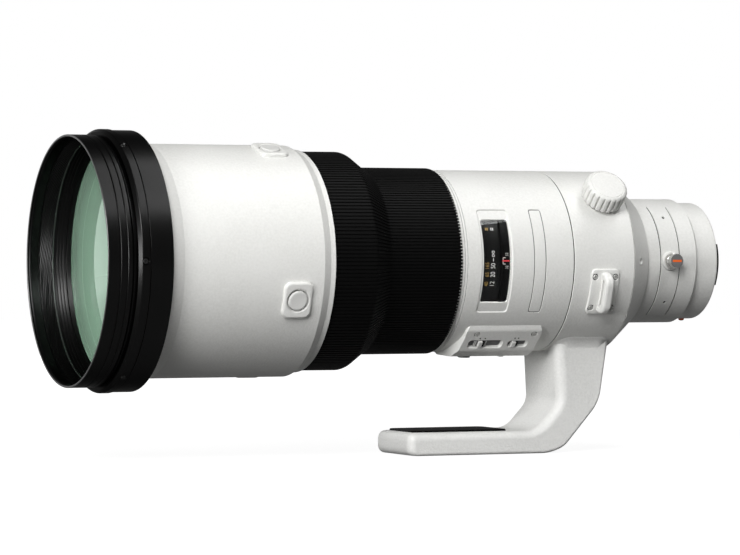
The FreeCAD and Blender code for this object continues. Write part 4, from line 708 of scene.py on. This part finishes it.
def control_panel():
    """Faceted panel: the section carried along the axis, kept in common with a tapered rounded
    block, then cut for the barrel, the slots, the button's well and the screws."""
    half_length = 23.7
    section = eased([(-20.3, 45.0), (-17.6, 48.4, 1.0), (-3.9, 55.0, 1.4), (3.9, 55.0, 1.4),
                     (17.6, 48.4, 1.0), (20.3, 45.0)], steps=3)
    place = flat_on(PANEL_FRONT + half_length, PANEL_ANGLE)

    def raked(u, v, w):
        lead = 3.2 * np.clip((16.0 - v) / 14.0, 0, 1) - 0.8
        return place(u - lead * (np.asarray(u) < 0), v - 3.0, w)
    skin, plan, core, wells, beds_and_shade, cap, dots = skins(7)
    skin.sweep(place(np.array([[-28.0], [25.0]]), section[None, :, 0], section[None, :, 1]))
    plan.stack(half_length, 23.3, 4.8, [(0, 43.0), (0, 46.0), (1.9, 56.0)], raked, fill=12)
    core.sweep(around(np.array([[-160.0], [-106.0]]), 49.4, FULL_TURN[None, :]))
    slots = ((1, MODE_SLOT, 10.4, 3.0), (1, OVERRIDE_SLOT, 6.1, 2.5), (-1, LIMITER_SLOT, 8.0, 2.5))
    for side, along, half_u, half_v in slots:
        spot = facet(side, along)
        # grey plates on the slot floors: partly the slots' own grey, partly painted shade in the recesses
        beds_and_shade.stack(half_u - 0.95, half_v - 0.95, 1.0, [(0, -1.6), (0, -1.5)], spot)
        wells.stack(half_u, half_v, 1.9, [(0.9, -1.6), (0.8, -1.3), (0.0, 0.0), (-0.6, 0.8)], spot)
    wells.bore(3.65, -1.8, -0.3, (4.0, 0.0), (5.0, 1.0), facet(-1, PRESET_PLACE))
    heads, gap_shade = panel_screws(wells)
    piece("faceted_panel", skin, "white_paint", replaces="control_panel", within=plan, cuts=[core, wells],
          bevel=(0.3, 50), sharp=38)
    piece("panel_screw_heads", heads, "screw_steel", replaces="panel_screws")
    # painted shade: the dark rings in the panel screws' gaps
    piece("panel_screw_gap_shade", gap_shade, "black_plastic")
    piece("slot_beds_and_shade", beds_and_shade, "grey_plastic")
    slider("focus_mode_switch", facet(1, MODE_SLOT - 3.0), 4.0, 2.0)
    slider("override_switch", facet(1, OVERRIDE_SLOT - 2.25), 2.3, 1.6)
    slider("limiter_switch", facet(-1, LIMITER_SLOT - 3.0), 2.5, 1.6)
    cap.spun([(0, -1.0), (3.4, -1.0), (3.4, 0.7), (3.1, 0.95), (2.5, 1.0), (2.2, 0.9), (0, 0.85)],
             facet(-1, PRESET_PLACE))
    piece("preset_cap", cap, "grey_plastic", "preset_button", replaces="preset_button", sharp=45)
    for along in (10.9, 13.9, 31.9, 34.0):
        dots.plug([(0.42, -0.05), (0.42, 0.03)], facet(1, along, 1.9), 20)
    piece("switch_dots", dots, "black_plastic")


def slider(name, place, half_u, half_v):
    """Slide switch: a low plate, on it a white thumb block with a black strip behind it that is
    painted shade, and fine ridges at both ends."""
    plate, thumb, strip = skins(3)
    plate.stack(half_u, half_v, 0.4, [(0, -1.35), (0, -0.95), (0.15, -0.8)], place)
    thumb.stack(1.15, half_v + 0.2, 0.3, [(0, -0.9), (0, 0.45), (0.25, 0.7)], moved(place, -0.25))
    # painted shade: a black strip on the plate where the thumb's shadow and the gap behind it fall
    strip.stack(0.75, half_v, 0.3, [(0, -0.9), (0, -0.3), (0.15, -0.15)], moved(place, 1.75))
    for along in (-half_u + 0.5, -half_u + 1.3, half_u - 0.5):
        thumb.stack(0.16, half_v - 0.2, 0.1, [(0, -0.9), (0, -0.5), (0.08, -0.42)], moved(place, along))
    piece(name + "_plate", plate, "grey_plastic", name, replaces=name)
    piece(name + "_thumb", thumb, "white_plastic", name)
    piece(name + "_strip", strip, "black_plastic", name)


# Collar, lock, lugs and foot.

def tripod_collar():
    """White ring with eased edges, drilled for the lock's screw, and a dark ring in its front seam
    that is painted shade.
    """
    hole = Skin()
    hole.plug([(3.1, 44), (3.1, 52)], flat_on(COLLAR_SCREW, COLLAR_SCREW_ANGLE))
    # painted shade: a dark ring down in the seam between barrel and collar
    painted_shade = [(-98.58, 47.0), (-98.58, 49.6), (-98.02, 49.6), (-98.02, 47.0)]
    ring_piece("seam_painted_shade", painted_shade, "black_rubber")
    corners = [(-98.0, 46.7), (-98.0, BARREL, 0.45), (-61.35, BARREL, 0.45), (-61.35, 46.7)]
    ring_piece("white_collar", corners, "white_paint", "collar", replaces="tripod_collar", cuts=[hole])


def lock_knob():
    """Knob with 22 broad ribs: its radius dips in narrow grooves between the ribs, which fade out
    at the top, where a plain disc is set in a fine groove."""
    ribs, deepest = 22, 1.35
    profile = np.array([(0, 57.0), (3.05, 57.0), (3.05, 50.4), (10.6, 50.4), (11.3, 50.9), (11.6, 51.6),
                        (11.9, 53.0), (12.0, 55.0), (12.0, 57.5), (11.9, 59.4), (11.5, 60.4), (10.7, 61.05),
                        (9.9, 61.2), (9.7, 60.9), (9.4, 60.9), (9.2, 61.2), (0, 61.3)])
    depth = np.interp(profile[:, 1], (50.3, 51.6, 59.2, 60.8), (0.6, 1.0, 1.0, 0.0))
    depth *= profile[:, 0] > 10.5
    share = np.array([0.0, 0.05, 0.1, 0.16, 0.3, 0.5, 0.7, 0.84, 0.9, 0.95])
    level = np.array([1.0, 0.85, 0.42, 0.12, 0.0, -0.04, 0.0, 0.12, 0.42, 0.85])
    turn = (np.arange(ribs)[:, None] + share[None, :]).reshape(1, -1) * 2 * np.pi / ribs
    radius = profile[:, :1] - deepest * depth[:, None] * np.tile(level, ribs)[None, :]
    place = flat_on(COLLAR_SCREW, COLLAR_SCREW_ANGLE)
    skin = Skin()
    skin.patch(wheel(place, radius, turn, profile[:, 1:]), ring=True)
    piece("fluted_knob", skin, "white_paint", "lock_knob", replaces="lock_knob", sharp=45)


def strap_bar(place):
    """Grid of a lug's bar: its arched side view repeated across it, drawn in toward the core near
    both sides by a quarter circle of the edge's radius."""
    half_width, edge, core = 2.5, 1.5, (0.0, 2.0)
    side = eased([(-11.4, -0.3), (-11.4, 2.4, 2.0), (-8.6, 8.1, 3.6), (8.6, 8.1, 3.6), (11.4, 2.4, 2.0),
                  (11.4, -0.3)], steps=8)
    lean = np.radians(np.array([-90, -64, -38, -12, 0, 0, 12, 38, 64, 90]))
    offset = np.sign(lean) * (half_width - edge * (1 - np.abs(np.sin(lean))))
    offset[4:6] = (edge - half_width, half_width - edge)
    shrink = edge * (1 - np.cos(lean))
    toward = side - core
    toward /= np.linalg.norm(toward, axis=1, keepdims=True)
    rows = side[None] - toward[None] * shrink[:, None, None]
    return place(offset[:, None], rows[..., 0], rows[..., 1])


def strap_lugs():
    """Two lugs: a bent rounded plate, a rounded strap bar that stands on it with a slot under its
    middle, and four countersunk screws, each with a dark ring in its gap that is painted shade."""
    lugs, holes, heads, bars, slots, gap_shade = skins(6)

    def turned_slot(place):
        return lambda u, v, w: place(w, u, v + 3.8)
    for angle in (-20.0, 200.0):
        place = bent_on(LUG_PLACE, angle, BARREL)
        layers = [(0, -0.6), (0, 0.7), (0.2, 1.0), (0.6, 1.2)]
        lugs.stack(8.5, math.radians(15) * BARREL, 2.8, layers, place, fill=16)
        bars.sweep(strap_bar(place))
        slots.stack(7.6, 0.95, 0.9, [(0, -4.0), (0, 4.0)], turned_slot(place))
        for along in (-6.2, 6.2):
            for lean in (-10.1, 10.1):
                spot = flat_on(LUG_PLACE + along, angle + lean)
                holes.bore(1.75, 50.35, 50.9, (2.05, 51.25), (3.0, 52.2), spot)
                heads.screw(spot, 1.35, 50.35, 51.2, 0.9, 0.26)
                # painted shade: a dark ring at the bottom of each screw's gap
                gap_shade.packing(spot, 1.3, 1.73, 50.37)
    piece("lug_plates", lugs, "white_paint", "collar", replaces="strap_lugs", cuts=[holes])
    piece("strap_bars", bars, "white_paint", "collar", cuts=[slots], sharp=50)
    piece("lug_screw_heads", heads, "screw_steel", "collar", replaces="strap_lug_screws")
    # painted shade: the dark rings in the lug screws' gaps
    piece("lug_screw_gap_shade", gap_shade, "black_plastic", "collar")


FOOT = [(-184.9, FOOT_BASE, 5.0), (-99.5, FOOT_BASE, 5.0), (-90.5, -102.6, 4.0), (-69.0, -78.4, 7.0),
        (-63.6, -49.0, 0), (-96.0, -49.0, 0), (-94.2, -79.0, 4.5), (-107.6, -93.4, 6.0),
        (-184.9, -93.4, 5.0)]
FOOT_ROUND = np.array([1.8, 1.8, 1.8, 1.8, 0.0, 5.8, 5.2, 4.6, 4.6])


def foot_outline(y, width):
    """Side view of foot and post at a distance from its middle plane. Each edge is set in by its
    own radius less the height of a quarter circle of that radius, and neighbours meet anew."""
    table = np.array(FOOT)
    points = table[:, :2]
    run = np.roll(points, -1, axis=0) - points
    run /= np.linalg.norm(run, axis=1, keepdims=True)
    normal = np.stack([-run[:, 1], run[:, 0]], 1)
    past = np.clip(abs(y) - (width - FOOT_ROUND), 0, FOOT_ROUND)
    inset = FOOT_ROUND - np.sqrt(FOOT_ROUND ** 2 - past ** 2)
    other, other_inset = np.roll(normal, 1, axis=0), np.roll(inset, 1)
    cross = other[:, 0] * normal[:, 1] - other[:, 1] * normal[:, 0]
    shift = np.stack([other_inset * normal[:, 1] - inset * other[:, 1],
                      inset * other[:, 0] - other_inset * normal[:, 0]], 1) / cross[:, None]
    points = points + shift
    points[4:6, 1] = -math.sqrt(48.8 ** 2 - y ** 2)
    convex = np.array([1, 1, 1, 1, 0, 0, -1, -1, 1])
    ease = np.where(table[:, 2] > 0, np.maximum(table[:, 2] - convex * inset, 0.6), 0)
    return eased(np.column_stack([points, ease]), steps=8)


def tripod_threads():
    """Cutting tool for the foot's two tripod holes, and the grooved metal sleeves in them, whose
    radius steps in and out for each half turn of thread."""
    holes, inserts = skins(2)
    down = flat_frame((0, 0, 0), (1, 0, 0), (0, -1, 0), (0, 0, -1))
    low, high, base = 97.2, 105.3, -FOOT_BASE
    for x, radius in ((-157.6, 4.6), (-131.6, 3.2)):
        spot = moved(down, x)
        holes.bore(radius, 97.0, 105.7, (radius + 0.4, base), (radius + 1.4, 107), spot)
        outer, bore = radius - 0.02, radius - 0.65
        wave = [(bore + 0.22 * (half % 2), low + 0.42 * half) for half in range(20)]
        inserts.spun([(outer, low), *wave, (outer, high), (outer, low)], spot)
    return holes, inserts


def post_skirt():
    """Coved skirt where the post meets the collar: a quarter circle flares it outwards, and its
    heights follow the collar's round underside."""
    cove = 4.4
    reach = np.array([-1.2, 0.0, 0.25, 0.6, 1.1, 1.8, 2.7, 3.7, 4.6, 5.6])
    flare = cove - np.sqrt(np.maximum(cove ** 2 - np.clip(cove - reach, 0, cove) ** 2, 0))

    def under_collar(u, v, w):
        height = -np.sqrt((BARREL + w) ** 2 - np.clip(np.abs(v), 0, 40) ** 2)
        return np.stack(np.broadcast_arrays(-79.5 + u, v, height), axis=-1)
    skirt = Skin()
    skirt.stack(13.0, 22.9, 4.2, list(zip(0.03 - flare, reach)), under_collar, fill=14)
    piece("post_skirt", skirt, "foot_paint", "collar", slot="white_paint", sharp=70)


def tripod_foot():
    """Foot and post: side views one beside another, the outer ones set in so that the edges are
    round. A rubber pad lies on the foot."""
    width, edge = 23.0, FOOT_ROUND.max()
    outer = width - edge + edge * np.sin(np.radians(np.linspace(0, 90, 13)))
    middle = np.linspace(-1, 1, 11)[1:-1] * (width - edge)
    rows = []
    for y in np.concatenate([-outer[::-1], middle, outer]):
        side = foot_outline(y, width)
        rows.append(np.stack([side[:, 0], np.full(len(side), y), side[:, 1]], 1))
    skin, pad = skins(2)
    skin.sweep(np.stack(rows))
    holes, inserts = tripod_threads()
    piece("white_foot", skin, "foot_paint", "collar", slot="white_paint", replaces="tripod_foot",
          cuts=[holes], sharp=60)
    piece("thread_inserts", inserts, "screw_steel", "collar")
    post_skirt()
    pad.stack(28.4, 18.0, 4.0, [(0, -93.5), (0, -92.75), (0.35, -92.4)],
              flat_frame((-151.5, 0, 0), (1, 0, 0), (0, 1, 0), (0, 0, 1)), fill=3)
    piece("foot_rubber", pad, "black_rubber", "collar", replaces="foot_pad")


# Rear end.

def cone_pin_hole():
    """Countersunk cup in the cone's hole, square to the cone."""
    lean = math.atan(12.75 / 15.0)
    sin, cos = math.sin(lean), math.cos(lean)
    cup = Skin()
    cup.plug([(1.2, -2.2), (2.45, -0.25), (2.45, 0.02), (1.8, 0.02), (0.95, -0.95), (0.95, -1.95)],
             flat_frame((-54.45, -44.26, 0), (cos, sin, 0), (0, 0, 1), (sin, -cos, 0)), 32)
    piece("cone_pin_cup", cup, "white_paint")


def filter_section():
    """Drop-in filter's cover: a bent plate with two pin holes, and a boss. Under it lies a dark
    sheet, a little wider, that fills the seams round it: painted shade.
    """
    cover, pins, ledge, packing = skins(4)
    angles = np.linspace(-60, 60, 121)[:, None]
    profile = eased([(-36.75, 33.05), (-36.75, 34.95, 0.3), (-25.6, 34.95, 0.3), (-25.6, 33.05)],
                    steps=3)
    # painted shade: a dark sheet under the cover, a little wider, that darkens the seams round it
    under = np.array([(-37.28, 33.1), (-37.28, 34.35), (-25.12, 34.35), (-25.12, 33.1)])
    packing.sweep(around(under[None, :, 0], under[None, :, 1], angles * 1.01))
    cover.sweep(around(profile[None, :, 0], profile[None, :, 1], angles))
    for x, angle in ((-30.5, 43.8), (-30.3, -41.7)):
        pins.bore(0.8, 33.6, 34.7, (1.1, 34.95), (1.7, 35.6), flat_on(x, angle), 24)
    ledge.plug([(5.4, 33.4), (5.4, 34.9), (4.95, 35.8), (4.6, 36.0), (1.7, 36.0), (1.6, 35.9), (1.6, 32.8)],
               flat_on(FILTER_PLACE, 0))
    piece("filter_cover", cover, "white_paint", "filter_drawer", replaces="filter_drawer", cuts=[pins])
    piece("filter_shade_fill", packing, "black_rubber", "filter_drawer")
    piece("filter_ledge", ledge, "white_paint", "filter_drawer", replaces="filter_drawer")


def filter_holder():
    """Square frame that holds the glass, round inside, and the stem that joins it to its cover."""
    outline, _ = rounded_box(22.0, 22.0, 2.0, fill=9)
    turn = np.arctan2(outline[:, 1], outline[:, 0])
    circle = np.stack([np.cos(turn), np.sin(turn)], 1)
    rows = []
    for x, share in ((-36.2, 0.985), (-35.9, 1.0), (-26.5, 1.0), (-26.2, 0.985)):
        rows.append(np.insert(outline * share, 0, x, axis=1))
    for x, radius in ((-26.2, 20.9), (-26.9, 20.25), (-35.5, 20.25), (-36.2, 20.9)):
        rows.append(np.insert(circle * radius, 0, x, axis=1))
    holder = Skin()
    holder.patch(np.stack(rows), ring=True, tube=True)
    holder.stack(4.0, 8.0, 0.6, [(0, 21.0), (0, 33.9)], flat_on(FILTER_PLACE, 0))
    piece("filter_holder", holder, "black_satin", "filter_drawer", replaces="filter_drawer")


def filter_knob():
    """Knob of the filter: knurled base, whose radius follows a triangle wave, a plain barrel,
    and a dark end face with a line across it."""
    place = flat_on(FILTER_PLACE, 0)
    teeth, tooth = 36, 0.28
    profile = np.array([(0, 33.0), (1.45, 33.0), (1.45, 36.05), (4.0, 36.05), (4.2, 36.3), (4.25, 36.6),
                        (4.25, 39.0), (4.1, 39.3), (3.95, 39.4), (3.95, 42.6), (3.85, 42.8), (3.6, 42.85),
                        (3.0, 42.85), (0, 42.85)])
    turn = np.linspace(0, 2 * np.pi, 4 * teeth, endpoint=False)[None, :]
    knurl = np.abs((turn * teeth / (2 * np.pi)) % 1 - 0.5) * 2
    knurled = (profile[:, 1:] > 36.2) & (profile[:, 1:] < 39.2) & (profile[:, :1] > 4.05)
    radius = profile[:, :1] + knurled * (0.15 - tooth * knurl)
    skin, face, line = skins(3)
    skin.patch(wheel(place, radius, turn, profile[:, 1:]), ring=True)
    piece("filter_turn", skin, "mount_metal", "filter_knob", replaces="filter_knob", sharp=28)
    face.plug([(3.75, 42.8), (3.75, 42.9), (3.6, 42.98)], place)
    line.stack(2.75, 0.6, 0.15, [(0, 42.9), (0, 43.02)], place)
    piece("filter_face", face, "grey_plastic", "filter_knob")
    piece("filter_line", line, "orange_plastic", "filter_knob")


def rear_ring():
    """White rear ring, round at its back edge, with a domed index dot in a well."""
    inner, outer, flange, back = 30.0, 32.75, 30.42, -0.05
    well, dot = skins(2)
    place = flat_on(-5.6, -90.0)
    well.plug([(1.7, 31.9), (1.7, 34.0)], place)
    dot.spun([(0, 31.9), (1.6, 31.9), (1.6, 33.1), (1.45, 33.5), (1.0, 33.78), (0.5, 33.88), (0, 33.9)],
             place, 32)
    corners = [(-12.9, inner), (-12.9, outer, 0.3), (back, outer, 1.2), (back, flange),
               (-2.0, flange), (-2.0, 26.0), (-4.0, 26.0), (-4.0, inner)]
    ring_piece("white_rear_ring", corners, "white_paint", replaces="rear_ring", cuts=[well])
    piece("mount_dot", dot, "orange_plastic", replaces="index_dot", sharp=50)


def behind(radius, angle):
    """Flat frame that faces the camera body, at a distance from the axis and an angle round it."""
    _, y, z = around(0.0, radius, float(angle))
    return flat_frame((0, y, z), (0, 1, 0), (0, 0, 1), (1, 0, 0))


def bayonet():
    """Metal mount: flange, register and three claws with eased ends, and six screws. The claws'
    near black finish is painted shade over their bare metal.
    """
    body, claws, holes, heads = skins(4)
    profile = eased([(-4.0, 23.0), (-4.0, 24.98), (-2.0, 24.98), (-2.0, 30.35),
                     (0.0, 30.35, 0.25), (0.0, 25.4, 0.15), (0.5, 24.98, 0.15), (3.2, 24.98, 0.3),
                     (3.2, 23.0, 0.3)])
    body.patch(turned(profile), ring=True, tube=True)
    claw = eased([(1.9, 24.5), (1.9, 27.4, 0.25), (3.6, 27.4, 0.3), (3.6, 24.5)], steps=3)
    for middle in (-5, 115, 235):
        angles = np.linspace(middle - 25, middle + 25, 41)
        claws.sweep(around(claw[None, :, 0], claw[None, :, 1], angles[:, None]))
    for angle in range(90, 450, 60):
        spot = behind(28.4, angle)
        holes.bore(1.25, -1.5, -0.3, (1.55, 0.0), (2.4, 0.9), spot, 32)
        heads.screw(spot, 1.2, -1.4, -0.1, 0.75, 0.22)
    piece("mount_body", body, "mount_metal", replaces="bayonet", cuts=[holes])
    # painted shade: the claws are bare metal, darkened to near black
    piece("mount_claws", claws, "thin_black_steel", slot="mount_metal", replaces="bayonet")
    piece("mount_screw_heads", heads, "screw_steel", replaces="bayonet_screws")


def contacts():
    """Block of ten gold contact pins inside the mount."""
    block, pins = skins(2)
    shape = eased([(-4.0, 19.65), (-4.0, 22.98), (1.7, 22.98, 0.2), (1.7, 19.65, 0.35)], steps=3)
    block.sweep(around(shape[None, :, 0], shape[None, :, 1], np.linspace(-114, -66, 41)[:, None]))
    for angle in np.linspace(-109.5, -70.5, 10):
        pins.spun([(0, 1.0), (0.72, 1.0), (0.72, 1.75), (0.55, 1.93), (0.25, 1.99), (0, 2.0)],
                  behind(21.3, angle), 20)
    piece("contact_body", block, "black_plastic", replaces="contact_block")
    piece("contact_pins", pins, "gold_pin", slot="mount_metal", sharp=50)


# Floor, backdrop, light and camera.

def white_for_eyes(tree, lit, seen):
    """Mix of two shaders: one for the light that reaches the object, one for the camera,
    reflections and views through glass."""
    rays = node(tree, "ShaderNodeLightPath").outputs
    either = worked(tree, "MAXIMUM", rays["Is Camera Ray"], rays["Is Glossy Ray"])
    either = worked(tree, "MAXIMUM", either, rays["Is Transmission Ray"])
    return node(tree, "ShaderNodeMixShader", {0: either, 1: lit, 2: seen}).outputs[0]


def unless_camera(tree, level):
    """A level for the rays that aren't the camera's own, which get the full one."""
    camera_ray = node(tree, "ShaderNodeLightPath").outputs["Is Camera Ray"]
    return worked(tree, "MAXIMUM", level, camera_ray)


def floor():
    """Pale floor under the foot: white to the eye, a little less so near the lens, with the
    object's shadow kept on it. In reflections it is bright only behind the lens."""
    far, height = 4000, FOOT_BASE - 0.05
    corners = np.array([(-far, -far, height), (far, -far, height), (far, far, height), (-far, far, height)])
    mesh = bpy.data.meshes.new("pale_floor")
    mesh.from_pydata(corners * MM, [], [(0, 1, 2, 3)])
    item = linked("pale_floor", mesh)
    material, tree = new_material("pale_floor")
    tree.nodes.remove(tree.nodes["Principled BSDF"])
    dull = node(tree, "ShaderNodeBsdfDiffuse", {"Color": solid(0.11)})
    shade = node(tree, "ShaderNodeBsdfDiffuse", {"Color": solid(0.16)})
    place = node(tree, "ShaderNodeTexCoord").outputs["Object"]
    away = node(tree, "ShaderNodeVectorMath", {0: place}, operation="LENGTH").outputs["Value"]
    depth = node(tree, "ShaderNodeSeparateXYZ", {0: place}).outputs["Y"]
    fade = mapped(tree, away, 0.92, 1.0, 0.25, 0.7)
    room = unless_camera(tree, mapped(tree, depth, 0.1, 1.0, 0.3, 2.0))
    glow = node(tree, "ShaderNodeEmission", {"Strength": worked(tree, "MULTIPLY", fade, room)})
    both = node(tree, "ShaderNodeAddShader", {0: shade.outputs[0], 1: glow.outputs[0]})
    result = white_for_eyes(tree, dull.outputs[0], both.outputs[0])
    tree.links.new(result, tree.nodes["Material Output"].inputs["Surface"])
    mesh.materials.append(material)


def backdrop(level):
    """World that is white to the eye and gives the object a low, even fill. Gloss and glass see a
    white wall behind the lens and a dim room in front of it."""
    world = bpy.data.worlds.new("studio")
    bpy.context.scene.world = world
    world.use_nodes = True
    tree = world.node_tree
    behind_lens = (-0.33, 0.94, 0.0)
    feeds = {0: node(tree, "ShaderNodeTexCoord").outputs["Generated"], 1: behind_lens}
    facing = node(tree, "ShaderNodeVectorMath", feeds, operation="DOT_PRODUCT").outputs["Value"]
    seen = tree.nodes["Background"]
    seen.inputs["Color"].default_value = solid(1.0)
    room = unless_camera(tree, mapped(tree, facing, 0.15, 1.0, 0.7, 0.97))
    tree.links.new(room, seen.inputs["Strength"])
    fill = node(tree, "ShaderNodeBackground", {"Strength": level})
    result = white_for_eyes(tree, fill.outputs[0], seen.outputs[0])
    tree.links.new(result, tree.nodes["World Output"].inputs["Surface"])


def softbox(name, angle, along, size, power, shines=True):
    """Soft light aimed at the middle of the lens from an angle round it and a lean along it.
    One that doesn't shine lights the paint and leaves no reflection of itself."""
    distance, middle = 2.0, np.array([-0.19, 0, 0])
    out, across = directions(angle)
    lean = math.radians(along)
    toward = math.sin(lean) * np.array([1, 0, 0]) + math.cos(lean) * out
    light = bpy.data.lights.new(name, "AREA")
    light.shape = "RECTANGLE"
    light.size, light.size_y = size
    light.energy = power
    item = linked(name, light)
    item.visible_glossy = shines
    item.location = middle + toward * distance
    item.rotation_euler = Matrix((across, np.cross(toward, across), toward)).transposed().to_euler()


def camera():
    """Camera at the photograph's place: level, a little in front of the lens, long focal length."""
    yaw = -23.5
    lens = bpy.data.cameras.new("view")
    lens.sensor_fit = "HORIZONTAL"
    lens.sensor_width = 36.0
    lens.lens = 178.05
    lens.shift_y = -0.03
    item = linked("view", lens)
    item.location = (-0.9956, -1.8341, 0.0031)
    item.rotation_euler = (math.radians(90), 0, math.radians(yaw))
    bpy.context.scene.camera = item


def dress_frame():
    """Finish of every CAD piece that stays in sight or inside."""
    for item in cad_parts.values():
        for slot in item.material_slots:
            name = slot.material.name.split(".")[0]
            if item.name in ("front_cell", "inner_tube", "rear_lens_cell"):
                name = "inner_black"
            slot.material = FINISHES[name]
        if item.data.materials[0].name in ("coated_glass", "clear_glass"):
            item.visible_shadow = False


camera()
all_finishes()
front_rim()
hood_band()
front_glass()
front_barrel()
hold_buttons()
focus_grip()
rear_barrel()
dial()
control_panel()
tripod_collar()
lock_knob()
strap_lugs()
tripod_foot()
cone_pin_hole()
filter_section()
filter_holder()
filter_knob()
rear_ring()
bayonet()
contacts()
dress_frame()
floor()
backdrop(0.05)
softbox("key", 34, -31, (0.8, 0.8), 29)
softbox("front", 4, -62, (0.6, 0.6), 21)
softbox("overhead", 72, 23, (2.1, 0.35), 21)
softbox("back", 176, 5, (1.2, 0.8), 20, shines=False)
bpy.context.scene.view_settings.view_transform = "Standard"
